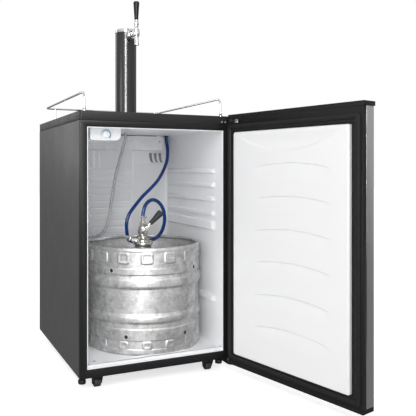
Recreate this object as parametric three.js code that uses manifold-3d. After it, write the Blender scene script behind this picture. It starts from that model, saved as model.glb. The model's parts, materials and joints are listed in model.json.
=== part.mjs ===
// A single-tap kegerator: a refrigerated cabinet with a hinged door, a draft tower and faucet on
// its worktop, and a pony keg with its coupler and hoses inside. Millimetres, +Z up.
//
// Everything is placed in cabinet coordinates: x runs from the left side to the right side, y from
// the front face to the back, and z from the underside of the cabinet. The last lines move the
// whole object so that its origin is under the middle of its box, on the floor.

import * as THREE from 'three';
import { mergeVertices } from 'three/addons/utils/BufferGeometryUtils.js';
import Module from 'manifold-3d';

const wasm = await Module();
wasm.setup();

// ---------------------------------------------------------------- driving dimensions

const GAP = 0.3;                 // clearance between pieces that touch

// cabinet
const WIDTH = 510;
const DEPTH = 600;
const HEIGHT = 804;              // top of the worktop above the underside of the cabinet
const SLAB = 28;                 // worktop thickness
const FLOOR_DROP = 40;           // caster height
const STEEL = 3;                 // skin of the cabinet
const FRAME_SIDE = 22.5;         // width of the front frame beside the opening
const OPENING_LOW = 26.2;
const OPENING_HIGH = 756.2;
const SHELL_TOP = HEIGHT - SLAB - GAP;

// white inner liner
const LINER_WALL = 2.5;
const LINER_FLOOR = 37;
const LINER_CEILING = 761;
const LINER_BACK = 455;
const LINER_LEFT = FRAME_SIDE + GAP + LINER_WALL;
const LINER_RIGHT = WIDTH - LINER_LEFT;
const LIP_DEPTH = 8;             // the ceiling and the floor start behind a lip this deep
const RIB = { front: 60, back: 430, out: 5 };
const RIB_HEIGHTS = [[619, 625], [571, 577], [523, 529], [474, 480], [426, 448], [182, 194]];

// machine bay, low at the back
const BAY_FRONT = 487;
const BAY_TOP = 205;

// draft tower
const TOWER = { x: WIDTH / 2, y: 308, radius: 38, wall: 2.5, hole: 30 };
const CAP_TOP = 1133;
const CAP_HEIGHT = 11;
const SHANK_Z = 1105;
const FAUCET_Y = 200;
const LEVER_PIVOT_Z = 1112;
const HANDLE_LOW = 1146.3;
const HANDLE_HIGH = 1210;

// keg
const KEG = { x: 282, y: 207, hoop: 200, chime: 197, body: 194, low: LINER_FLOOR + GAP, high: 378 };
const KEG_NECK = 362;

// door, measured from its hinge axis with the door shut
const HINGE = { x: 506, y: -19 };
const DOOR_OPEN = THREE.MathUtils.degToRad(103.25);
const DOOR = { free: -506, hinge: 4, inner: 10, outer: -38, low: -10.7, high: 806.8 };
const PANEL = { free: -471, hinge: -31, face: 22, low: 30.5, high: 747.6 };
const CAP_DOOR = 12;             // height of the door's black end caps
const DOOR_RIM = 15;             // depth of the black inner frame
const SKIN = 1.2;

// hoses
const BLUE_RADIUS = 6.3;
const CLEAR_RADIUS = 5.5;
const HOSE_STEP = 20;            // spacing of the rings of a hose

// ---------------------------------------------------------------- colours and finishes

const finish = (color, roughness, metalness = 0) =>
  new THREE.MeshStandardMaterial({ color, roughness, metalness });
const BLACK_STEEL = finish(0x3a3a3c, 0.45, 0.3);
const BLACK_PLASTIC = finish(0x1c1c1d, 0.5);
const WHITE_PLASTIC = finish(0xe9ebee, 0.4);
const STAINLESS = finish(0x8f908f, 0.35, 1);
const KEG_STEEL = finish(0xb9b8b5, 0.4, 1);
const CHROME = finish(0xd8d8d8, 0.12, 1);
const RUBBER = finish(0x202020, 0.8);
const FOAM = finish(0xe6dcb4, 0.9);
const GREY_STEEL = finish(0x8a8d90, 0.5, 0.8);
const BLUE_HOSE = finish(0x1b3a93, 0.35);
const CLEAR_HOSE = finish(0xc4c8ca, 0.3);

// ---------------------------------------------------------------- geometry helpers

function solid(geometry) {
  const bare = geometry.clone();
  for (const name of Object.keys(bare.attributes)) {
    if (name !== 'position') bare.deleteAttribute(name);
  }
  const merged = mergeVertices(bare, 1e-4);
  return new wasm.Manifold(new wasm.Mesh({
    numProp: 3,
    vertProperties: new Float32Array(merged.attributes.position.array),
    triVerts: new Uint32Array(merged.index.array),
  }));
}

function geometryOf(manifold) {
  const mesh = manifold.getMesh();
  const geometry = new THREE.BufferGeometry();
  geometry.setAttribute('position', new THREE.BufferAttribute(mesh.vertProperties, 3));
  geometry.setIndex(new THREE.BufferAttribute(mesh.triVerts, 1));
  return geometry;
}

const join = (first, ...others) =>
  geometryOf(others.reduce((whole, next) => whole.add(solid(next)), solid(first)));
const cut = (first, ...others) =>
  geometryOf(others.reduce((whole, next) => whole.subtract(solid(next)), solid(first)));

function block([x0, y0, z0], [x1, y1, z1]) {
  const geometry = new THREE.BoxGeometry(x1 - x0, y1 - y0, z1 - z0);
  return geometry.translate((x0 + x1) / 2, (y0 + y1) / 2, (z0 + z1) / 2);
}

// a cylinder or cone from one point to another
function rod(from, to, radius, sides = 20, endRadius = radius) {
  const a = new THREE.Vector3(...from);
  const b = new THREE.Vector3(...to);
  const geometry = new THREE.CylinderGeometry(endRadius, radius, a.distanceTo(b), sides);
  const turn = new THREE.Quaternion().setFromUnitVectors(
    new THREE.Vector3(0, 1, 0), b.clone().sub(a).normalize());
  geometry.applyQuaternion(turn);
  const middle = a.add(b).multiplyScalar(0.5);
  return geometry.translate(middle.x, middle.y, middle.z);
}

// a turned piece about the vertical line through (x, y): profile is [radius, z] pairs
function turned(profile, x, y, sides = 32) {
  const points = profile.map(([radius, z]) => new THREE.Vector2(radius, z));
  const geometry = new THREE.LatheGeometry(points, sides);
  return geometry.rotateX(Math.PI / 2).translate(x, y, 0);
}

const closed = (profile) => [...profile, profile[0]];

// a ring about the vertical line through (x, y)
const ring = (inner, outer, z0, z1, x, y, sides = 32) =>
  turned(closed([[inner, z0], [outer, z0], [outer, z1], [inner, z1]]), x, y, sides);

// a ring about a line along y through (x, z)
function ringAlongY(inner, outer, y0, y1, x, z, sides = 24) {
  const geometry = new THREE.LatheGeometry(
    closed([[inner, y0], [outer, y0], [outer, y1], [inner, y1]])
      .map(([radius, y]) => new THREE.Vector2(radius, y)), sides);
  return geometry.translate(x, 0, z);
}

// an upright slab with rounded corners in plan
function roundedSlab([x0, y0, z0], [x1, y1, z1], radius) {
  const shape = new THREE.Shape();
  shape.moveTo(x0 + radius, y0);
  shape.lineTo(x1 - radius, y0);
  shape.absarc(x1 - radius, y0 + radius, radius, -Math.PI / 2, 0);
  shape.lineTo(x1, y1 - radius);
  shape.absarc(x1 - radius, y1 - radius, radius, 0, Math.PI / 2);
  shape.lineTo(x0 + radius, y1);
  shape.absarc(x0 + radius, y1 - radius, radius, Math.PI / 2, Math.PI);
  shape.lineTo(x0, y0 + radius);
  shape.absarc(x0 + radius, y0 + radius, radius, Math.PI, 1.5 * Math.PI);
  const depth = z1 - z0;
  const geometry = new THREE.ExtrudeGeometry(shape, { depth, bevelEnabled: false, curveSegments: 4 });
  return geometry.translate(0, 0, z0);
}

// a path that an extrusion follows from point to point, one step for each point
class Route extends THREE.Curve {
  constructor(points) {
    super();
    this.points = points;
  }

  getPointAt(u) {
    const place = u * (this.points.length - 1);
    const index = Math.min(Math.floor(place), this.points.length - 2);
    return this.points[index].clone().lerp(this.points[index + 1], place - index);
  }

  getTangentAt(u) {
    const index = Math.round(u * (this.points.length - 1));
    const before = this.points[Math.max(index - 1, 0)];
    const after = this.points[Math.min(index + 1, this.points.length - 1)];
    return after.clone().sub(before).normalize();
  }
}

function tube(points, radius, sides = 8) {
  const section = new THREE.Shape(Array.from({ length: sides }, (_, i) => {
    const angle = (2 * Math.PI * i) / sides;
    return new THREE.Vector2(radius * Math.cos(angle), radius * Math.sin(angle));
  }));
  return new THREE.ExtrudeGeometry(section, { steps: points.length - 1, extrudePath: new Route(points) });
}

// corner points of a wire, with each inner corner rounded by an arc-like bend
function bentWire(corners, radius, bendSteps = 5) {
  const points = [new THREE.Vector3(...corners[0])];
  for (let i = 1; i < corners.length - 1; i += 1) {
    const corner = new THREE.Vector3(...corners[i]);
    const inward = new THREE.Vector3(...corners[i - 1]).sub(corner).setLength(radius);
    const outward = new THREE.Vector3(...corners[i + 1]).sub(corner).setLength(radius);
    const centre = corner.clone().add(inward).add(outward);
    for (let step = 0; step <= bendSteps; step += 1) {
      const angle = (Math.PI / 2) * (step / bendSteps);
      points.push(centre.clone()
        .addScaledVector(outward, -Math.cos(angle))
        .addScaledVector(inward, -Math.sin(angle)));
    }
  }
  points.push(new THREE.Vector3(...corners.at(-1)));
  return points;
}

// evenly spaced points on a smooth curve, with a short straight at each end to meet its fitting squarely
function smooth(points, spacing) {
  const curve = new THREE.CatmullRomCurve3(points.map((p) => new THREE.Vector3(...p)), false, 'centripetal');
  const path = curve.getSpacedPoints(Math.round(curve.getLength() / spacing));
  const straight = 2;
  path.splice(1, 0, path[0].clone().addScaledVector(curve.getTangentAt(0), straight));
  path.splice(-1, 0, path.at(-1).clone().addScaledVector(curve.getTangentAt(1), -straight));
  return path;
}

const kegerator = new THREE.Group();
const cabinet = new THREE.Group();
kegerator.add(cabinet);

function piece(name, geometry, material, parent = cabinet) {
  const mesh = new THREE.Mesh(geometry, material);
  mesh.name = name;
  parent.add(mesh);
  return mesh;
}

// ---------------------------------------------------------------- cabinet

const towerHole = (radius) => rod([TOWER.x, TOWER.y, 740], [TOWER.x, TOWER.y, HEIGHT + 1], radius);
const FEET = [[12, 20], [480, 20]];
const FAN = { x: 434, z: 674.5, radius: 20 };
const LINE_PORT = { x: 466, y: 424 };

function linerOuter(grow) {
  const lip = block([FRAME_SIDE + GAP - grow, -grow, OPENING_LOW + GAP - grow],
    [WIDTH - FRAME_SIDE - GAP + grow, LIP_DEPTH, OPENING_HIGH - GAP + grow]);
  const tub = block([FRAME_SIDE + GAP - grow, STEEL + GAP - grow, OPENING_LOW + GAP - grow],
    [WIDTH - FRAME_SIDE - GAP + grow, LINER_BACK + LINER_WALL + grow, LINER_CEILING + LINER_WALL + grow]);
  return join(lip, tub);
}

function cabinetShell() {
  const outer = block([0, 0, 0], [WIDTH, DEPTH, SHELL_TOP]);
  const inside = block([STEEL, STEEL, -1], [WIDTH - STEEL, DEPTH + 1, SHELL_TOP - STEEL]);
  const opening = block([FRAME_SIDE, -1, OPENING_LOW], [WIDTH - FRAME_SIDE, STEEL + 1, OPENING_HIGH]);
  return cut(outer, inside, opening, towerHole(TOWER.hole));
}

function innerLiner() {
  const throat = block([LINER_LEFT, -1, OPENING_LOW + GAP + LINER_WALL],
    [LINER_RIGHT, LIP_DEPTH + 1, OPENING_HIGH - GAP - LINER_WALL]);
  const cavity = block([LINER_LEFT, LIP_DEPTH, LINER_FLOOR], [LINER_RIGHT, LINER_BACK, LINER_CEILING]);
  const fanHole = rod([FAN.x, LINER_BACK - 1, FAN.z], [FAN.x, LINER_BACK + 9, FAN.z], FAN.radius + 3);
  const portHole = rod([LINE_PORT.x, LINE_PORT.y, LINER_CEILING - 1], [LINE_PORT.x, LINE_PORT.y, 767], 7.5);
  const tub = cut(linerOuter(0), throat, cavity, fanHole, portHole, towerHole(TOWER.hole));
  const ribs = RIB_HEIGHTS.flatMap(([z0, z1]) => [
    block([LINER_LEFT - 1, RIB.front, z0], [LINER_LEFT + RIB.out, RIB.back, z1]),
    block([LINER_RIGHT - RIB.out, RIB.front, z0], [LINER_RIGHT + 1, RIB.back, z1]),
  ]);
  return join(tub, ...ribs);
}

function insulationFoam() {
  const inset = STEEL + GAP;
  const outer = block([inset, inset, inset], [WIDTH - inset, DEPTH - 7, SHELL_TOP - inset]);
  const bay = block([0, BAY_FRONT, 0], [WIDTH, DEPTH, BAY_TOP]);
  const fanPocket = rod([FAN.x, LINER_BACK, FAN.z], [FAN.x, LINER_BACK + 34, FAN.z], FAN.radius + 6);
  const portPocket = rod([LINE_PORT.x, LINE_PORT.y, 755], [LINE_PORT.x, LINE_PORT.y, 769], 8);
  const stemHoles = FEET.map(([x, y]) => rod([x, y, 0], [x, y, 22], 5, 12));
  return cut(outer, linerOuter(GAP), bay, fanPocket, portPocket, towerHole(TOWER.hole), ...stemHoles);
}

function basePlate() {
  const inset = STEEL + GAP;
  const plate = block([inset, inset, 0], [WIDTH - inset, DEPTH - 7, STEEL]);
  return cut(plate, ...FEET.map(([x, y]) => rod([x, y, -1], [x, y, STEEL + 1], 4.4, 12)));
}

function makeCabinet() {
  piece('cabinet_shell', cabinetShell(), BLACK_STEEL);
  piece('inner_liner', innerLiner(), WHITE_PLASTIC);
  piece('insulation_foam', insulationFoam(), FOAM);
  piece('base_plate', basePlate(), GREY_STEEL);
  piece('back_panel', block([STEEL + GAP, DEPTH - 6, BAY_TOP + 3],
    [WIDTH - STEEL - GAP, DEPTH - 3, SHELL_TOP - STEEL - GAP]), BLACK_STEEL);
  piece('worktop', cut(roundedSlab([0, 0, HEIGHT - SLAB], [WIDTH, DEPTH, HEIGHT], 6),
    towerHole(TOWER.hole)), BLACK_PLASTIC);
}

// chrome rail round three sides of the worktop, open at the front
function makeGuardRail() {
  const [left, right, front, back] = [20, WIDTH - 20, 24, 570];
  const top = HEIGHT + 60;
  const foot = HEIGHT + GAP;
  const wire = 3.2;
  const bend = 24;
  const rail = tube(bentWire([
    [left, front, foot], [left, front, top], [left, back, top],
    [right, back, top], [right, front, top], [right, front, foot],
  ], bend), wire);
  const posts = [left + 36, right - 36].map((x) => rod([x, back, foot], [x, back, top], wire, 8));
  piece('guard_rail', join(rail, ...posts), CHROME);
}

// ---------------------------------------------------------------- inside the cabinet

function makeThermostat() {
  const [left, right, front, back, low] = [41, 140, 30, 140, 717];
  const top = LINER_CEILING - GAP;
  const wall = 2.5;
  const box = block([left, front, low], [right, back, top]);
  const inside = block([left + wall, front + wall, low + wall], [right - wall, back - wall, top + 1]);
  piece('thermostat_housing', cut(box, inside), WHITE_PLASTIC);
  const knobX = 91;
  const knobZ = 735;
  piece('thermostat_knob', join(rod([knobX, front - GAP, knobZ], [knobX, front - 7, knobZ], 11, 24),
    block([knobX - 1.5, front - 10, knobZ - 10], [knobX + 1.5, front - 6, knobZ + 10])), WHITE_PLASTIC);
}

function makeEvaporatorCover() {
  const [left, right, front, low] = [60, 448, 415, 702];
  const [back, top] = [LINER_BACK - GAP, LINER_CEILING - GAP];
  const wall = 2.5;
  piece('evaporator_cover', cut(block([left, front, low], [right, back, top]),
    block([left + wall, front + wall, low + wall], [right - wall, back + 1, top + 1])), WHITE_PLASTIC);
}

function makeFan() {
  const front = LINER_BACK - 6;
  const plate = block([398, front, 652], [470, LINER_BACK - GAP, 697]);
  const slots = [657, 664.5, 672, 679.5, 687].map((z) =>
    block([405, front - 1, z], [463, LINER_BACK + 1, z + 4.5]));
  piece('vent_grille', cut(plate, ...slots), WHITE_PLASTIC);
  const y = LINER_BACK + 6;
  const hub = rod([FAN.x, y, FAN.z], [FAN.x, y + 16, FAN.z], 7, 16);
  const blades = [0, 1, 2, 3, 4].map((i) => {
    const blade = block([4, -0.8, -6], [FAN.radius, 0.8, 6]);
    blade.rotateX(0.6);
    blade.rotateY((2 * Math.PI * i) / 5);
    return blade.translate(FAN.x, y + 7, FAN.z);
  });
  piece('fan_rotor', join(hub, ...blades), BLACK_PLASTIC);
}

function makeMachineBay() {
  const floor = STEEL + GAP;
  const [x, y] = [190, 540];
  const dome = turned([[0, 12], [44, 12], [48, 20], [48, 84], [44, 100], [32, 114], [14, 121], [0, 122]],
    x, y, 20);
  const feet = block([x - 62, y - 40, floor], [x + 62, y + 40, 13]);
  piece('compressor', join(dome, feet), BLACK_STEEL);
  const inlet = block([360, 545, floor], [420, 590, 48]);
  const socket = block([372, 572, 14], [408, 591, 38]);
  piece('power_inlet', cut(inlet, socket), BLACK_PLASTIC);
}

// ---------------------------------------------------------------- drip tray

function makeDripTray() {
  const [left, right, front, back] = [TOWER.x - 82, TOWER.x + 82, 122, 250];
  const low = HEIGHT + GAP;
  const high = low + 10;
  const wall = 3;
  const tray = cut(roundedSlab([left, front, low], [right, back, high], 12),
    roundedSlab([left + wall, front + wall, low + 2], [right - wall, back - wall, high + 1], 9));
  const ledge = [-1, 1].map((side) => {
    const x = TOWER.x + side * 40;
    return block([x - 3, front + 1, low + 1], [x + 3, back - 1, high - 4]);
  });
  piece('drip_tray', join(tray, ...ledge), BLACK_PLASTIC);
  const inset = wall + 0.6;
  const plate = roundedSlab([left + inset, front + inset, high - 4 + GAP],
    [right - inset, back - inset, high - 1], 8);
  const slots = [];
  for (let x = left + 14; x < right - 18; x += 12) {
    slots.push(block([x, front + 14, low], [x + 7, back - 14, high + 1]));
  }
  piece('drip_grate', cut(plate, ...slots), STAINLESS);
}

// ---------------------------------------------------------------- draft tower and faucet

function makeTower() {
  const { x, y, radius, wall } = TOWER;
  const top = CAP_TOP - CAP_HEIGHT;
  const foot = HEIGHT + GAP;
  const inner = radius - wall;
  piece('tower_flange', turned(closed([[28, foot], [52, foot], [52, foot + 4], [47, foot + 6],
    [inner - GAP, foot + 6], [inner - GAP, foot + 24], [28, foot + 24]]), x, y, 24), CHROME);
  const shankHole = rod([x, y - radius - 4, SHANK_Z], [x, y - radius + 20, SHANK_Z], 11.4, 24);
  piece('tower_column', cut(ring(inner, radius, foot + 6.3, top, x, y, 28), shankHole), BLACK_PLASTIC);
  piece('tower_cap', turned([[0, top - 1], [inner - 2, top - 1], [inner - 2, top + GAP],
    [radius + 0.8, top + GAP], [radius + 0.8, CAP_TOP - 2], [radius - 1, CAP_TOP], [0, CAP_TOP]],
  x, y, 28), CHROME);
}

function makeShank() {
  const { x, y, radius } = TOWER;
  const front = y - radius;
  const tail = 290;
  const thread = rod([x, FAUCET_Y + 42.5, SHANK_Z], [x, front + 13, SHANK_Z], 11, 24);
  const barb = rod([x, front + 12, SHANK_Z], [x, tail, SHANK_Z], 5, 16);
  const bore = rod([x, FAUCET_Y, SHANK_Z], [x, tail + 1, SHANK_Z], 3, 12);
  piece('faucet_shank', cut(join(thread, barb), bore), CHROME);
  piece('shank_collar', ringAlongY(11.3, 15, front - 10, front - GAP, x, SHANK_Z, 20), CHROME);
  piece('shank_nut', cut(rod([x, front + 6.6, SHANK_Z], [x, front + 12, SHANK_Z], 15.4, 6),
    rod([x, front, SHANK_Z], [x, front + 20, SHANK_Z], 11.3, 24)), GREY_STEEL);
  piece('coupling_nut', ringAlongY(11.3, 15.6, FAUCET_Y + 36, front - 14, x, SHANK_Z, 20), CHROME);
}

function makeFaucet() {
  const { x } = TOWER;
  const y = FAUCET_Y;
  const barrel = rod([x, y, SHANK_Z], [x, y + 42, SHANK_Z], 10, 14);
  const head = turned([[0, 1086], [9, 1086], [12, 1092], [12, 1110], [10, 1116], [0, 1116]], x, y, 16);
  const spout = rod([x, y, 1094], [x, y - 5, 1059], 9, 14, 7.5);
  const gallery = rod([x, y - 2, SHANK_Z], [x, y + 43, SHANK_Z], 4.6, 12);
  const spoutBore = rod([x, y, 1100], [x, y - 5.2, 1057], 5, 12);
  const socket = rod([x, y, 1104], [x, y, 1120], 6.4, 14);
  piece('faucet_body', cut(join(barrel, head, spout), gallery, spoutBore, socket), CHROME);
  piece('faucet_shaft', rod([x, y + 4, SHANK_Z], [x, y + 33, SHANK_Z], 4.2, 16), STAINLESS);
  piece('faucet_lever', turned([[0, LEVER_PIVOT_Z - 2.6], [3, LEVER_PIVOT_Z - 1.6], [3, 1121], [6.5, 1122.5],
    [9, 1130], [8, 1139], [6.5, HANDLE_LOW - GAP], [0, HANDLE_LOW - GAP]], x, y, 16), CHROME);
  piece('tap_handle', turned([[0, HANDLE_LOW], [6.8, HANDLE_LOW], [8.4, 1170], [10.4, 1200], [10.4, 1204],
    [8.6, 1209], [0, HANDLE_HIGH]], x, y, 16), BLACK_PLASTIC);
}

// ---------------------------------------------------------------- keg

function chimeProfile(welded, rim) {
  const roll = Math.sign(rim - welded);
  const wall = KEG.chime;
  const profile = closed([[KEG.body + 0.2, welded], [wall, welded + roll * 2], [wall, rim - roll * 9],
    [wall - 2, rim - roll * 3], [wall - 6, rim], [wall - 10, rim - roll * 3], [wall - 9, rim - roll * 7],
    [wall - 4, rim - roll * 10], [wall - 3, rim - roll * 13]]);
  return roll > 0 ? profile : profile.reverse();
}

function drainHoles(count, z, firstAngle) {
  return Array.from({ length: count }, (_, i) => {
    const angle = THREE.MathUtils.degToRad(firstAngle + (360 / count) * i);
    const [dx, dy] = [Math.cos(angle), Math.sin(angle)];
    return rod([KEG.x + 180 * dx, KEG.y + 180 * dy, z], [KEG.x + 210 * dx, KEG.y + 210 * dy, z], 5.5, 12);
  });
}

function makeKeg() {
  const { x, y, hoop, body, low, high } = KEG;
  const sides = 28;
  const outside = [[0, low + 34], [120, low + 42], [168, low + 58], [body - 0.6, low + 84],
    [body, 136], [hoop, 141], [hoop, 161], [body, 166], [body, 246], [hoop, 251], [hoop, 278],
    [body, 283], [body - 0.6, 290], [168, 318], [120, 332], [27, 346], [27, KEG_NECK]];
  const inside = [[23, KEG_NECK], [23, 343], [119, 329], [166, 315], [190, 288],
    [190, low + 86], [166, low + 61], [119, low + 45], [0, low + 37]];
  piece('keg_body', turned([...outside, ...inside], x, y, sides), KEG_STEEL);
  const topChime = turned(chimeProfile(291, high), x, y, sides);
  const bottomChime = turned(chimeProfile(low + 83, low), x, y, sides);
  piece('keg_top_chime', cut(topChime, ...drainHoles(4, 303, 38)), KEG_STEEL);
  piece('keg_bottom_chime', cut(bottomChime, ...drainHoles(6, 95, 53)), KEG_STEEL);
  piece('keg_valve', turned([[0, low + 46], [7, low + 46], [7, 330], [22.5, 342],
    [22.5, KEG_NECK + GAP], [30, KEG_NECK + GAP], [30, KEG_NECK + 4], [0, KEG_NECK + 4]],
  x, y, 20), STAINLESS);
}

// ---------------------------------------------------------------- coupler

const COUPLER_LOW = KEG_NECK + 4 + GAP;
const COUPLER_PIVOT_Z = 411;
const COUPLER_TOP = 455.7;
const INLET_END = [225, 203, 391.5];
const LEVER_TURN = THREE.MathUtils.degToRad(-12);
const LEVER_RAISE = THREE.MathUtils.degToRad(45);

function makeCoupler() {
  const { x, y } = KEG;
  const low = COUPLER_LOW;
  const body = turned(closed([[9.5, low], [34, low], [34, low + 8], [21, low + 10], [21, 397], [17, 401],
    [17, 424], [14, 430], [9.5, 430]]), x, y, 20);
  const [ex, ey, ez] = INLET_END;
  const inlet = rod([x - 14, y - 1, 373.5], [ex + GAP, ey, ez - GAP / 2], 6.2, 12);
  const boss = rod([x - 16, y - 1.5, 374.5], [x - 31, y - 3, 381.5], 9, 6);
  const bore = rod([x, y, low - 1], [x, y, 431], 9.5, 20);
  piece('coupler_body', cut(join(body, inlet, boss), bore), CHROME);
  piece('coupler_probe', ring(3.5, 9, 384, 420, x, y, 20), STAINLESS);
  const nut = turned([[0, 430.3], [13.5, 430.3], [13.5, 442], [8, 443], [8, 446], [0, 446]], x, y, 6);
  piece('coupler_outlet', join(nut, rod([x, y, 444], [x, y, COUPLER_TOP], 6.2, 20)), CHROME);
}

// the lever straddles the body; it is built lying along +X from its pivot, then raised and turned
function makeCouplerLever() {
  const lever = new THREE.Group();
  lever.position.set(KEG.x, KEG.y, COUPLER_PIVOT_Z);
  lever.rotation.set(0, -LEVER_RAISE, LEVER_TURN, 'ZYX');
  cabinet.add(lever);
  const arms = [-1, 1].map((side) => block([-8, side * 20 - 2, -5], [30, side * 20 + 2, 5]));
  const bridge = block([24, -22, -5], [30, 22, 5]);
  const stem = rod([29, 0, 0], [37, 0, 0], 5, 16);
  piece('coupler_lever', join(bridge, ...arms, stem), CHROME, lever);
  const grip = new THREE.LatheGeometry([[0, 37.3], [7.5, 37.3], [8, 42], [12.5, 88], [11, 94], [0, 95]]
    .map(([radius, along]) => new THREE.Vector2(radius, along)), 20);
  piece('coupler_grip', grip.rotateZ(-Math.PI / 2), BLACK_PLASTIC, lever);
}

// ---------------------------------------------------------------- hoses

const BLUE_ROUTE = [
  [282, 207, 456], [282, 207, 464], [283.5, 207.5, 475], [287, 209, 488], [295, 213, 503],
  [308, 219, 514], [325, 227, 519], [343, 234, 516], [358, 239, 507], [371, 243, 492],
  [380, 247, 473], [384, 251, 445], [381, 256, 417], [373, 262, 395], [361, 270, 379],
  [343, 282, 369], [318, 290, 365], [292, 291, 364], [268, 284, 368], [251, 270, 378],
  [242, 257, 396], [236, 247, 417], [236, 244, 446], [247, 247, 471], [275, 259, 501],
  [311, 280, 531], [355, 309, 559], [397, 342, 588], [433, 374, 625], [458, 398, 664],
  [467, 413, 707], [467, 423, 736], [466, 424, 750], [466, 424, 757.6],
];
const CLEAR_ROUTE = [
  INLET_END, [208, 201, 399], [188, 198, 402], [165, 196, 399], [140, 198, 394],
  [117, 206, 390.5], [100, 221, 389], [92, 243, 388.5], [97, 266, 388], [112, 285, 388],
  [133, 299, 388.5], [153, 309, 392], [171, 318, 401], [184, 324, 417], [194, 329, 439],
  [201, 331, 468], [206, 331, 505], [212, 330, 547], [221, 325, 600], [232, 318, 651],
  [243, 311, 700], [251, 308, 732], [254, 308, 765], [255, 311, 810], [255, 322, 870],
  [255, 332, 930], [255, 336, 990], [255, 336, 1061], [255, 332.6, 1078], [255, 323.1, 1092.1],
  [255, 310, 1101.7], [255, 299, 1105], [255, 290.4, 1105],
];

function makeHoses() {
  piece('blue_hose', tube(smooth(BLUE_ROUTE, HOSE_STEP), BLUE_RADIUS), BLUE_HOSE);
  piece('clear_hose', tube(smooth(CLEAR_ROUTE, HOSE_STEP), CLEAR_RADIUS), CLEAR_HOSE);
  const { x, y } = LINE_PORT;
  const low = LINER_CEILING - 3;
  piece('line_grommet', turned([[0, low], [12, low], [12, LINER_CEILING - GAP], [7, LINER_CEILING - GAP],
    [7, 766], [0, 766]], x, y, 20), RUBBER);
}

// ---------------------------------------------------------------- door

const HINGE_NOTCH = 17;
const PLATE = { low: 789, high: 792 };    // top hinge plate, in a notch under the door's top cap

function doorNotch() {
  return join(rod([0, 0, PLATE.low - 3], [0, 0, PLATE.high + GAP], HINGE_NOTCH, 32),
    block([-HINGE_NOTCH, 0, PLATE.low - 3], [HINGE_NOTCH + 4, 40, PLATE.high + GAP]));
}

function makeDoor() {
  const door = new THREE.Group();
  door.position.set(HINGE.x, HINGE.y, 0);
  door.rotation.z = DOOR_OPEN;
  cabinet.add(door);
  const { free, hinge, inner, outer, low, high } = DOOR;
  const [skinLow, skinHigh] = [low + CAP_DOOR + GAP, high - CAP_DOOR - GAP];
  const rimBack = inner - DOOR_RIM;
  const notch = doorNotch();
  const pinHole = rod([0, 0, low - 1], [0, 0, high - 3], 4.5, 16);

  const skin = cut(block([free, outer, skinLow], [hinge, rimBack - GAP, skinHigh]),
    block([free + SKIN, outer + SKIN, skinLow + SKIN], [hinge - SKIN, inner, skinHigh - SKIN]),
    notch, pinHole);
  piece('door_skin', skin, STAINLESS, door);

  const clear = SKIN + GAP;
  const foam = cut(block([free + clear, outer + clear, skinLow + clear],
    [hinge - clear, rimBack - GAP, skinHigh - clear]), notch, pinHole);
  piece('door_foam', foam, FOAM, door);

  const [wx0, wx1, wz0, wz1] = [PANEL.free - GAP, PANEL.hinge + GAP, PANEL.low - GAP, PANEL.high + GAP];
  const rim = cut(block([free, rimBack, skinLow], [hinge, inner, skinHigh]),
    block([wx0, rimBack - 1, wz0], [wx1, inner + 1, wz1]), notch, pinHole);
  piece('door_rim', rim, BLACK_PLASTIC, door);

  const wall = LINER_WALL;
  const panel = cut(block([PANEL.free, rimBack, PANEL.low], [PANEL.hinge, PANEL.face, PANEL.high]),
    block([PANEL.free + wall, rimBack - 1, PANEL.low + wall],
      [PANEL.hinge - wall, PANEL.face - wall, PANEL.high - wall]));
  piece('door_liner', panel, WHITE_PLASTIC, door);

  const seal = block([free + 6, inner + GAP, low + CAP_DOOR + 8], [-2, -HINGE.y - 0.5, PANEL.high + 26]);
  const gasket = cut(seal, block([wx0, inner, wz0], [wx1, 30, wz1]));
  piece('door_gasket', gasket, RUBBER, door);

  piece('door_top_cap', cut(block([free - 3, outer - 2, high - CAP_DOOR], [hinge, inner, high]),
    rod([0, 0, high - CAP_DOOR - 1], [0, 0, high - 3], 4.5, 16)), BLACK_PLASTIC, door);
  piece('door_bottom_cap', cut(block([free, outer, low], [hinge, inner, low + CAP_DOOR]), pinHole),
    BLACK_PLASTIC, door);
  piece('strike_plate', block([-44, inner + GAP, 778], [-30, inner + 2.3, 790]), STAINLESS, door);
}

// fixed hinge plates, each with a pin on the hinge axis
function makeHinges() {
  const { x, y } = HINGE;
  const pin = (z0, z1) => rod([x, y, z0], [x, y, z1], 4, 16);
  const back = -GAP;
  const upper = join(rod([x, y, PLATE.low], [x, y, PLATE.high - GAP], 9, 24),
    block([x - 9, y, PLATE.low], [x + 4, back, PLATE.high - GAP]),
    block([x - 30, back - 3, PLATE.low - 10], [x + 4, back, PLATE.high - GAP]),
    pin(PLATE.low - 12, DOOR.high - 5));
  piece('top_hinge_bracket', upper, GREY_STEEL);
  const plateLow = DOOR.low - 3.6;
  const lower = join(rod([x, y, plateLow], [x, y, plateLow + 3], 9, 24),
    block([x - 11, y, plateLow], [x + 4, 46, plateLow + 3]),
    block([x - 11, 8, plateLow], [x + 4, 46, -GAP]), pin(plateLow, DOOR.low + 14));
  piece('bottom_hinge_bracket', lower, BLACK_STEEL);
}

// ---------------------------------------------------------------- feet and casters

function makeLevellingFeet() {
  const sole = -19;
  FEET.forEach(([x, y], i) => {
    piece(`levelling_foot_${i + 1}`, join(rod([x, y, sole], [x, y, sole + 13], 11.5, 16),
      rod([x, y, sole + 12], [x, y, 20], 4, 12)), BLACK_PLASTIC);
  });
}

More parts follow.
